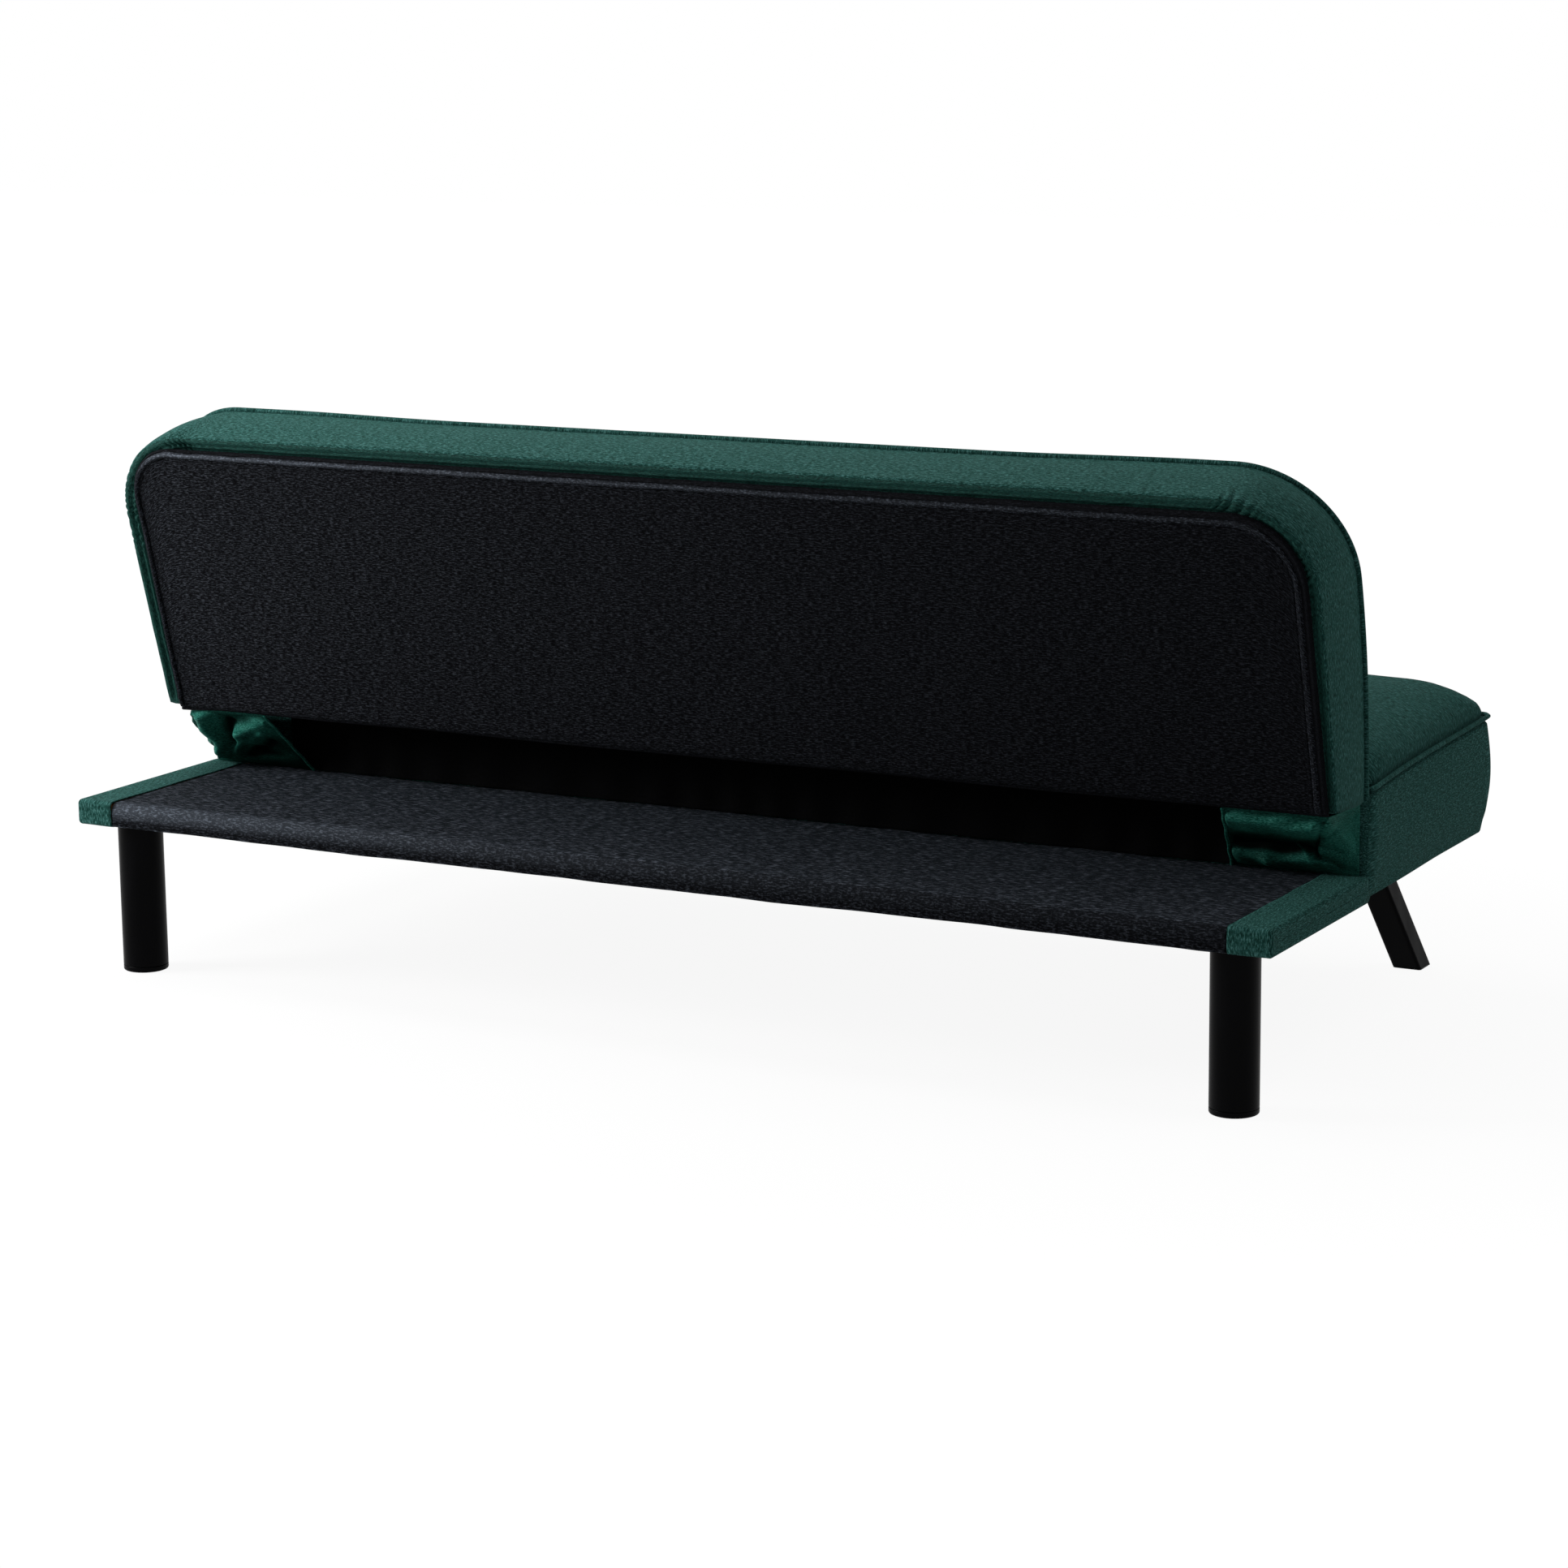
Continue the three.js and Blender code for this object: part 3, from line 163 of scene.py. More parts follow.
@dataclass(frozen=True)
class Outline:
    """A rectangle that is symmetric about x = 0 and has rounded corners, in its own plane.

    Its line is four quarter circles joined by straight runs. A point at a share of the whole length is found
    between the closest two of many points set along those circles. Where high_left isn't nought it is the
    radius of the high corner on the negative side.
    """

    half: float
    low: float
    high: float
    low_radius: float
    high_radius: float
    high_left: float = 0.0

    def trace(self) -> tuple[Array, Array]:
        """The line's own points and the angle of its outward normal at each, from the middle of the low side."""
        inner_low, left = self.half - self.low_radius, self.high_left or self.high_radius
        corners = [
            (inner_low, self.low + self.low_radius, -90.0, self.low_radius),
            (self.half - self.high_radius, self.high - self.high_radius, 0.0, self.high_radius),
            (left - self.half, self.high - left, 90.0, left),
            (-inner_low, self.low + self.low_radius, 180.0, self.low_radius),
        ]
        turn = np.linspace(0.0, 90.0, 40)
        angles = np.concatenate([start + turn for _, _, start, _ in corners])
        x = np.concatenate([cx + r * np.cos(np.radians(a + turn)) for cx, _, a, r in corners])
        z = np.concatenate([cz + r * np.sin(np.radians(a + turn)) for _, cz, a, r in corners])
        x = np.concatenate([[0.0], x, [0.0]])
        z = np.concatenate([[self.low], z, [self.low]])
        return np.stack([x, z], -1), np.concatenate([[-90.0], angles, [270.0]])

    def sample(self, shares: Array) -> tuple[Array, Array]:
        """Points and outward normals at shares of the whole length.

        Args:
            shares: from 0, the middle of the low side, on round the positive side to 1.

        Returns:
            The points and the normals, both in the outline's plane.
        """
        line, angle = self.trace()
        walked = lengths_along(line)
        at = shares * walked[-1]
        points = np.stack([np.interp(at, walked, line[:, 0]), np.interp(at, walked, line[:, 1])], -1)
        turned = np.radians(np.interp(at, walked, angle))
        return points, np.stack([np.cos(turned), np.sin(turned)], -1)

    def ring(self, count: int) -> tuple[Array, Array]:
        """Points and normals evenly all round."""
        return self.sample(np.arange(count) / count)

    def crowded(self, count: int, times: float, reach: float) -> Array:
        """Numbers along the traced line, all round, that lie closer together about the two high corners.

        Args:
            count: how many.
            times: how many times closer they lie there.
            reach: the width of the crowd, as a distance along the line.

        Returns:
            Numbers that count the traced line's own points, with parts of one between them.
        """
        walked = lengths_along(self.trace()[0])
        fine = np.linspace(0, walked[-1], 4000)
        density = 1 + times * (bump(fine - walked[60], reach) + bump(fine - walked[100], reach))
        passed = np.concatenate([[0.0], np.cumsum((density[1:] + density[:-1]) / 2)])
        at = np.interp(np.arange(count) / count * passed[-1], passed, fine)
        return np.interp(at, walked, np.arange(len(walked)))

    def numbered(self, number: Array) -> tuple[Array, Array]:
        """Points and normals at numbers along the traced line. The same number lies at facing places on two outlines."""
        line, angle = self.trace()
        own = np.arange(len(line))
        turned = np.radians(np.interp(number, own, angle))
        points = np.stack([np.interp(number, own, line[:, 0]), np.interp(number, own, line[:, 1])], -1)
        return points, np.stack([np.cos(turned), np.sin(turned)], -1)

    def arch(self, count: int) -> tuple[Array, Array]:
        """Points and normals evenly over the sides and the high side, from one foot to the other."""
        line, _ = self.trace()
        foot = (self.half - self.low_radius) / lengths_along(line)[-1]
        return self.sample(np.linspace(foot, 1 - foot, count))

    def half_at(self, height: Array) -> Array:
        """Half the outline's width at a height, for its rounded corners."""
        over = np.maximum(self.low + self.low_radius - height, height - self.high + self.high_radius)
        radius = np.where(height < (self.low + self.high) / 2, self.low_radius, self.high_radius)
        rise = np.sqrt(np.maximum(radius**2 - np.clip(over, 0, radius) ** 2, 0))
        return np.where(over > 0, self.half - radius + rise, self.half)

    def towards_spine(self, points: Array, share: Array) -> Array:
        """Points on the way from the outline's middle line to its edge: the line at share 0, the edge at 1.

        Args:
            points: the edge, as rows of points.
            share: how far out, one number for each row of the result.

        Returns:
            An array of rows by points by two.
        """
        middle = (self.low + self.high) / 2
        reach = self.half - (self.high - self.low) / 2
        spine = np.stack([np.clip(points[:, 0], -reach, reach), np.full(len(points), middle)], -1)
        return spine + share[:, None, None] * (points - spine)


# From arrays to Blender meshes


def grid_faces(rows: int, columns: int, wrap: bool) -> Array:
    """The squares of a grid of points, row by row. Where wrap is true the last column joins the first."""
    across = np.arange(columns if wrap else columns - 1)
    first = np.arange(rows - 1)[:, None] * columns
    a, b = first + across, first + (across + 1) % columns
    return np.stack([a, b, b + columns, a + columns], -1).reshape(-1, 4)


def make_mesh(name: str, points: Array, faces: Array, weave: Array | None = None) -> bpy.types.Object:
    """A smooth mesh object at the origin.

    Args:
        name: of the piece.
        points: its points.
        faces: its squares, as numbers of points.
        weave: the weave map, a pair for each corner of each face, in metres.

    Returns:
        The new object, in the scene.
    """
    mesh = bpy.data.meshes.new(name)
    mesh.from_pydata(points.tolist(), [], faces.tolist())
    mesh.polygons.foreach_set("use_smooth", np.ones(len(faces), bool))
    if weave is not None:
        layer = mesh.uv_layers.new(name="weave")
        layer.uv.foreach_set("vector", weave.astype(np.float32).ravel())
    mesh.update()
    made = bpy.data.objects.new(name, mesh)
    bpy.context.scene.collection.objects.link(made)
    return made


def enclosed(points: Array, faces: Array) -> float:
    """Six times the volume inside the squares, negative where they face inwards."""
    a, b, c, d = (points[faces[:, k]] for k in range(4))
    first = np.einsum("ij,ij->i", a, np.cross(b, c)).sum()
    return float(first + np.einsum("ij,ij->i", a, np.cross(c, d)).sum())


def surface(
    name: str, grid: Array, wrap: bool = False, flip: bool = False, solid: bool = False, keep: Array | None = None
) -> bpy.types.Object:
    """A grid of points as a mesh, with a weave map of the distances walked across and down it.

    Args:
        name: of the piece.
        grid: rows by columns by three.
        wrap: join the last column to the first.
        flip: turn the faces over.
        solid: the grid closes on itself, so its faces are turned outwards and its doubled points merged.
        keep: whether each square stays, in the order of grid_faces.

    Returns:
        The new object.
    """
    rows, columns = grid.shape[:2]
    faces = grid_faces(rows, columns, wrap)
    closed = np.concatenate([grid, grid[:, :1]], 1) if wrap else grid
    across = np.concatenate(
        [np.zeros((rows, 1)), np.cumsum(np.linalg.norm(np.diff(closed, axis=1), axis=-1), 1)], 1
    )
    down = np.concatenate([[0.0], np.cumsum(np.linalg.norm(np.diff(grid, axis=0), axis=-1).mean(1))])
    widest = across[across[:, -1].argmax()]
    chart = np.stack(np.broadcast_arrays(widest[None, :], down[:, None]), -1).reshape(-1, 2)
    corners = grid_faces(rows, closed.shape[1], False)
    points = grid.reshape(-1, 3)
    if keep is not None:
        faces, corners = faces[keep], corners[keep]
    if flip or (solid and enclosed(points, faces) < 0):
        faces, corners = faces[:, ::-1], corners[:, ::-1]
    made = make_mesh(name, points, faces, chart[corners])
    if solid:
        weld(made)
    return made


def weld(piece: bpy.types.Object) -> None:
    """Merges the points of a piece that lie on each other, such as those of a pole or a seam."""
    work = bmesh.new()
    work.from_mesh(piece.data)
    bmesh.ops.remove_doubles(work, verts=work.verts, dist=1e-6)
    bmesh.ops.dissolve_degenerate(work, edges=work.edges, dist=1e-7)
    work.to_mesh(piece.data)
    work.free()


def bead(
    name: str, path: Array, facing: Array, width: float, height: float, facets: int = 12, ends: bool = True
) -> bpy.types.Object:
    """A cord, rib or fold along a path: an ellipse carried along it, drawn in to a rounded end at each end.

    Args:
        name: of the piece.
        path: the points of its middle.
        facing: the direction of the ellipse's height, one for the path or one for each point.
        width: half the ellipse's size along the surface.
        height: half its size along facing.
        facets: sides of the ellipse.
        ends: whether it has ends; a path without them is a closed loop.

    Returns:
        The new object.
    """
    facing = np.broadcast_to(facing, path.shape)
    if ends:
        along = np.gradient(path, axis=0)
    else:
        along = np.roll(path, -1, 0) - np.roll(path, 1, 0)
    along = unit(along)
    side = unit(np.cross(along, facing))
    up = np.cross(side, along)
    scale, shift = np.ones(len(path)), np.zeros(len(path))
    rows = np.arange(len(path))
    if ends:
        cap = np.array([0.0, 0.6, 0.88])
        reach = np.sqrt(1 - cap**2) * min(width, height)
        rows = np.concatenate([np.zeros(3, int), rows, np.full(3, len(path) - 1)])
        scale = np.concatenate([cap, scale, cap[::-1]])
        shift = np.concatenate([-reach, shift, reach[::-1]])
    turn = np.linspace(0, 2 * np.pi, facets, endpoint=False)
    ring = width * np.cos(turn)[:, None] * side[rows][:, None] + height * np.sin(turn)[:, None] * up[rows][:, None]
    grid = (path[rows] + shift[:, None] * along[rows])[:, None] + scale[:, None, None] * ring
    if not ends:
        grid = np.concatenate([grid, grid[:1]])
    return surface(name, grid, wrap=True, solid=True)


def mark_painted_light_and_shade(piece: bpy.types.Object, share: Array) -> None:
    """Writes the share of painted light and shade at each point. The finishes that read it blend towards their painted
    tone there.

    Args:
        piece: the cloth.
        share: from nought to one, in the order of the points.
    """
    layer = piece.data.attributes.new("worn", "FLOAT", "POINT")
    layer.data.foreach_set("value", np.clip(share, 0, 1).astype(np.float32).ravel())


def weave_from_place(piece: bpy.types.Object, right: Vector, up: Vector) -> None:
    """Gives a remeshed form its weave map: each face is laid flat along whichever way it faces most.

    Args:
        piece: the form.
        right: the direction across the form's face.
        up: the direction up the form's face.
    """
    mesh = piece.data
    co = np.empty(len(mesh.vertices) * 3, np.float32)
    mesh.vertices.foreach_get("co", co)
    axes = np.array([right, up, right.cross(up)])
    place = co.reshape(-1, 3) @ axes.T
    normal, total = np.empty(len(mesh.polygons) * 3, np.float32), np.empty(len(mesh.polygons), np.int32)
    mesh.polygons.foreach_get("normal", normal)
    mesh.polygons.foreach_get("loop_total", total)
    towards = np.repeat(np.abs(normal.reshape(-1, 3) @ axes.T).argmax(1), total)
    vertex = np.empty(len(mesh.loops), np.int32)
    mesh.loops.foreach_get("vertex_index", vertex)
    at = place[vertex]
    u = np.where(towards == 0, at[:, 2], at[:, 0])
    v = np.where(towards == 1, at[:, 2], at[:, 1])
    layer = mesh.uv_layers.get("weave") or mesh.uv_layers.new(name="weave")
    layer.uv.foreach_set("vector", np.stack([u, v], -1).astype(np.float32).ravel())


@dataclass(frozen=True)
class Puff:
    """How a foam pad is swelled by a cloth simulation while its seams stay held."""

    voxel: float = 0.010
    pressure: float = 4.0
    frames: int = 20
    cap: float = 0.024

    def swell(self, piece: bpy.types.Object, held_below: Array, outwards: Vector) -> None:
        """Remeshes the pad, runs the cloth under pressure and without weight, and keeps the swelled shape.

        A point moves outwards as far as the cloth says, but a long move is eased off so that none passes the cap,
        and none is less than a plain swell of seven tenths of it, so that the seams stay closed.

        Args:
            piece: the closed pad, which is changed.
            held_below: the level along outwards under which the cloth is held, as two numbers: held, free.
            outwards: the direction that the pad's face looks in.
        """
        scene = bpy.context.scene
        view = bpy.context.view_layer
        remesh = piece.modifiers.new("remesh", "REMESH")
        remesh.mode, remesh.voxel_size, remesh.use_smooth_shade = "VOXEL", self.voxel, True
        view.update()
        made = bpy.data.meshes.new_from_object(piece.evaluated_get(bpy.context.evaluated_depsgraph_get()))
        piece.modifiers.clear()
        piece.data = made
        count = len(made.vertices)
        rest = np.empty(count * 3, np.float32)
        made.vertices.foreach_get("co", rest)
        rest = rest.reshape(-1, 3).astype(float)
        level = rest @ np.array(outwards)
        free = ease((level - held_below[0]) / (held_below[1] - held_below[0]))
        plain = np.full((count, 1), 0.7 * self.cap)
        group = piece.vertex_groups.new(name="held")
        group.add(np.flatnonzero(free < 0.02).tolist(), 1.0, "REPLACE")
        cloth = piece.modifiers.new("puff", "CLOTH")
        rules = cloth.settings
        rules.quality, rules.mass = 5, 0.3
        rules.tension_stiffness, rules.compression_stiffness, rules.shear_stiffness = 12.0, 12.0, 4.0
        rules.bending_stiffness = 0.4
        rules.use_pressure, rules.uniform_pressure_force = True, self.pressure
        rules.vertex_group_mass = "held"
        rules.effector_weights.gravity = 0.0
        cloth.point_cache.frame_start, cloth.point_cache.frame_end = 1, self.frames
        for step in range(1, self.frames + 1):
            scene.frame_set(step)
        solved = piece.evaluated_get(bpy.context.evaluated_depsgraph_get()).to_mesh()
        after = np.empty(count * 3, np.float32)
        solved.vertices.foreach_get("co", after)
        piece.modifiers.remove(cloth)
        piece.vertex_groups.clear()
        scene.frame_set(1)
        along = (after.reshape(-1, 3) - rest) @ np.array(outwards)[:, None]
        plain = np.maximum(plain, self.cap * np.tanh(along / self.cap))
        LOG.info("%s swelled by %.1f mm at most", piece.name, 1000 * float(plain.max()))
        swelled = rest + plain * free[:, None] * np.array(outwards)
        made.vertices.foreach_set("co", swelled.astype(np.float32).ravel())
        made.polygons.foreach_set("use_smooth", np.ones(len(made.polygons), bool))
        made.update()


def subdivide(piece: bpy.types.Object, levels: int = 1) -> None:
    """Adds a subdivision surface, as fine in view as in the render."""
    finer = piece.modifiers.new("finer", "SUBSURF")
    finer.levels = finer.render_levels = levels


def thicken(piece: bpy.types.Object, thickness: float, offset: float = 0.0) -> None:
    """Gives a sheet its thickness."""
    wall = piece.modifiers.new("thickness", "SOLIDIFY")
    wall.thickness, wall.offset = thickness, offset


# Finishes


def linear(shade: str) -> tuple[float, float, float, float]:
    """A colour written as rrggbb, in linear light."""
    value = np.array([int(shade[k : k + 2], 16) for k in (0, 2, 4)]) / 255
    level = np.where(value <= 0.04045, value / 12.92, ((value + 0.055) / 1.055) ** 2.4)
    return (*level.tolist(), 1.0)


class NodeSheet:
    """A material's node tree, filled by short calls."""

    def __init__(self, name: str) -> None:
        """Starts an empty material."""
        self.material = bpy.data.materials.new(name)
        self.material.use_nodes = True
        self.tree = self.material.node_tree
        self.tree.nodes.clear()

    def add(self, kind: str, settings: dict | None = None, **sockets: object) -> bpy.types.Node:
        """Adds a node.

        Args:
            kind: its type, without the words ShaderNode.
            settings: its own properties.
            sockets: values or links for its inputs, by name, with spaces written as underscores; a name
                of the form in0 is an input's number.

        Returns:
            The node.
        """
        node = self.tree.nodes.new("ShaderNode" + kind)
        for key, value in (settings or {}).items():
            setattr(node, key, value)
        for key, value in sockets.items():
            target = node.inputs[int(key[2:])] if key[:2] == "in" and key[2:].isdigit() else node.inputs[key.replace("_", " ")]
            if isinstance(value, bpy.types.NodeSocket):
                self.tree.links.new(value, target)
            else:
                target.default_value = value
        return node

    def math(self, operation: str, a: object, b: object = 0.0) -> bpy.types.NodeSocket:
        """A sum, product or other number worked out from two."""
        return self.add("Math", {"operation": operation}, in0=a, in1=b).outputs[0]

    def places(self, grain: Grain, stretch: tuple[float, float, float], turn: float = 0.0) -> bpy.types.NodeSocket:
        """The pattern's coordinates, each axis divided by a length in metres.

        Args:
            grain: where the pattern is read from.
            stretch: the length of one unit of the pattern on each axis.
            turn: radians about the third axis.

        Returns:
            A vector socket.
        """
        if grain is Grain.WEAVE:
            source = self.add("UVMap", {"uv_map": "weave"}).outputs["UV"]
        else:
            source = self.add("TexCoord").outputs["Object"]
        scale = tuple(1.0 / s for s in stretch)
        return self.add("Mapping", {"vector_type": "POINT"}, Vector=source, Scale=scale, Rotation=(0.0, 0.0, turn)).outputs[0]

    def noise(self, places: bpy.types.NodeSocket, detail: float = 2.0, roughness: float = 0.5) -> bpy.types.NodeSocket:
        """Cloudy noise with one cloud to each unit of the coordinates."""
        return self.add("TexNoise", Vector=places, Scale=1.0, Detail=detail, Roughness=roughness).outputs[0]

    def spread(self, value: bpy.types.NodeSocket, low: float, high: float, to_low: float = 0.0, to_high: float = 1.0) -> bpy.types.NodeSocket:
        """A number carried from one range to another, kept inside it."""
        return self.add("MapRange", {"clamp": True}, Value=value, From_Min=low, From_Max=high, To_Min=to_low, To_Max=to_high).outputs[0]

    def blend(self, share: object, a: object, b: object, how: str = "MIX") -> bpy.types.NodeSocket:
        """Two colours mixed."""
        node = self.add("Mix", {"data_type": "RGBA", "blend_type": how})
        for socket, value in ((node.inputs[0], share), (node.inputs[6], a), (node.inputs[7], b)):
            if isinstance(value, bpy.types.NodeSocket):
                self.tree.links.new(value, socket)
            else:
                socket.default_value = value
        return node.outputs[2]

    def finish(self, height: bpy.types.NodeSocket | None = None, depth: float = 0.0, **sockets: object) -> bpy.types.Material:
        """Ends the tree in a principled shader.

        Args:
            height: the relief, from zero to one.
            depth: the relief's depth in metres.
            sockets: the shader's inputs.

        Returns:
            The material.
        """
        shader = self.add("BsdfPrincipled", **sockets)
        if height is not None:
            relief = self.add("Bump", Height=height, Distance=depth, Strength=1.0)
            self.tree.links.new(relief.outputs[0], shader.inputs["Normal"])
        self.add("OutputMaterial", Surface=shader.outputs[0])
        return self.material


@dataclass(frozen=True)
class WovenFinish:
    """A heathered plain weave: short flecks along both threads over a ground colour, with a raised weave, and a painted
    light tone where a piece marks its points.
    """

    name: str
    deep: str
    ground: str
    fleck: str
    fleck_length: float = 0.0048
    fleck_width: float = 0.0011
    thread: float = 0.0015
    fleck_share: float = 0.6
    roughness: float = 0.85
    sheen: float = 0.12
    sheen_roughness: float = 0.45
    sheen_tint: str = "9fb8b6"
    relief: float = 0.0005
    gloss: float = 0.06
    turn: float = 0.0
    # The painted light tone: a painted highlight where it is lighter than the cloth, painted shade where it is darker;
    # empty for none. The next number is how much of it reaches the ground between the flecks.
    worn: str = ""
    painted_light_on_ground: float = 0.3
    grain: Grain = Grain.WEAVE
    axes: tuple[int, int] = (0, 1)

    def build(self) -> bpy.types.Material:
        """Makes the material. The weave is the product of two sines, one for each thread, under the flecks."""
        sheet = NodeSheet(self.name)
        long, thin = self.fleck_length, self.fleck_width
        weft = sheet.noise(sheet.places(self.grain, (long, thin, thin), self.turn), 3.0, 0.6)
        warp = sheet.noise(sheet.places(self.grain, (thin, long, long), self.turn), 3.0, 0.6)
        coarse = sheet.noise(sheet.places(self.grain, (2.6 * long, 2.2 * thin, 2.2 * thin), self.turn), 2.0, 0.5)
        cloudy = sheet.noise(sheet.places(self.grain, (0.09, 0.06, 0.06)), 4.0, 0.6)
        both = sheet.math("ADD", sheet.math("MULTIPLY", weft, 0.68), sheet.math("MULTIPLY", coarse, 0.2))
        both = sheet.math("ADD", both, sheet.math("MULTIPLY", warp, 0.12))
        light = sheet.spread(both, 0.5, 0.62)
        dark = sheet.spread(both, 0.5, 0.40)
        shade = sheet.blend(dark, linear(self.ground), linear(self.deep))
        shade = sheet.blend(sheet.math("MULTIPLY", light, self.fleck_share), shade, linear(self.fleck))
        toned = sheet.blend(sheet.spread(cloudy, 0.3, 0.7, 0.12, 0.0), shade, linear(self.deep))
        # Painted light and shade: the colour is blended towards the painted tone by the share that the piece marks at
        # each point.
        if self.worn:
            painted_light_mask = sheet.add("Attribute", {"attribute_name": "worn"}).outputs["Fac"]
            share = sheet.math("MULTIPLY", painted_light_mask, sheet.math("MULTIPLY_ADD", light, 1 - self.painted_light_on_ground))
            sheet.tree.nodes[-2].inputs[2].default_value = self.painted_light_on_ground
            toned = sheet.blend(share, toned, linear(self.worn))
        at = sheet.add("SeparateXYZ", in0=sheet.places(self.grain, (self.thread,) * 3, self.turn))
        over = sheet.math("SINE", sheet.math("MULTIPLY", at.outputs[self.axes[0]], 2 * np.pi))
        under = sheet.math("SINE", sheet.math("MULTIPLY", at.outputs[self.axes[1]], 2 * np.pi))
        weave = sheet.math("MULTIPLY_ADD", sheet.math("MULTIPLY", over, under), 0.25)
        sheet.tree.nodes[-1].inputs[2].default_value = 0.35
        height = sheet.math("ADD", weave, sheet.math("MULTIPLY", weft, 0.5))
        return sheet.finish(
            height,
            self.relief,
            Base_Color=toned,
            Roughness=self.roughness,
            Specular_IOR_Level=self.gloss,
            Sheen_Weight=self.sheen,
            Sheen_Roughness=self.sheen_roughness,
            Sheen_Tint=linear(self.sheen_tint),
        )


@dataclass(frozen=True)
class MouldedFinish:
    """A moulded or painted black surface: an even shade with fine grain and faint rubbing."""

    name: str
    shade: str
    # The tone of faint rubbing, real wear laid in by coarse noise.
    worn: str
    grain: float = 0.0012
    relief: float = 0.00006
    roughness: float = 0.38
    gloss: float = 0.5
    metallic: float = 0.0

    def build(self) -> bpy.types.Material:
        """Makes the material: two scales of noise, the coarse one for colour and gloss, the fine one for relief."""
        sheet = NodeSheet(self.name)
        fine = sheet.noise(sheet.places(Grain.OBJECT, (self.grain,) * 3), 2.0)
        coarse = sheet.noise(sheet.places(Grain.OBJECT, (0.03, 0.03, 0.09)), 5.0, 0.65)
        shade = sheet.blend(sheet.spread(coarse, 0.45, 0.75, 0.0, 0.5), linear(self.shade), linear(self.worn))
        rough = sheet.spread(coarse, 0.3, 0.7, self.roughness - 0.05, self.roughness + 0.08)
        return sheet.finish(
            fine, self.relief, Base_Color=shade, Roughness=rough, Specular_IOR_Level=self.gloss, Metallic=self.metallic
        )


@dataclass(frozen=True)
class BrushedFinish:
    """Bare or plated steel, brushed along one axis of the sofa."""

    name: str
    shade: str
    along: tuple[float, float, float]
    roughness: float = 0.34

    def build(self) -> bpy.types.Material:
        """Makes the material: noise drawn out along the brushing."""
        sheet = NodeSheet(self.name)
        streak = sheet.noise(sheet.places(Grain.OBJECT, self.along), 3.0, 0.6)
        spots = sheet.noise(sheet.places(Grain.OBJECT, (0.01, 0.01, 0.01)), 3.0)
        shade = sheet.blend(sheet.spread(spots, 0.4, 0.7, 0.0, 0.35), linear(self.shade), linear("6d7073"))
        rough = sheet.spread(streak, 0.3, 0.7, self.roughness - 0.08, self.roughness + 0.12)
        return sheet.finish(streak, 0.00003, Base_Color=shade, Roughness=rough, Metallic=1.0)


@dataclass(frozen=True)
class TimberFinish:
    """Sawn softwood: rings about a far centre, drawn out along the board, with darker late wood."""

    name: str
    pale: str = "c79a66"
    late: str = "9c6b3c"

    def build(self) -> bpy.types.Material:
        """Makes the material: a ring wave over distorted places, and fine pores along the board."""
        sheet = NodeSheet(self.name)
        places = sheet.places(Grain.OBJECT, (0.9, 0.05, 0.05))
        rings = sheet.add(
            "TexWave", {"wave_type": "RINGS", "rings_direction": "X"}, Vector=places, Scale=1.3, Distortion=3.5, Detail=3.0
        ).outputs[0]
        pores = sheet.noise(sheet.places(Grain.OBJECT, (0.02, 0.0012, 0.0012)), 2.0)
        shade = sheet.blend(sheet.spread(rings, 0.35, 0.95), linear(self.pale), linear(self.late))
        shade = sheet.blend(sheet.spread(pores, 0.55, 0.75, 0.0, 0.4), shade, linear(self.late))
        return sheet.finish(pores, 0.0002, Base_Color=shade, Roughness=0.7)


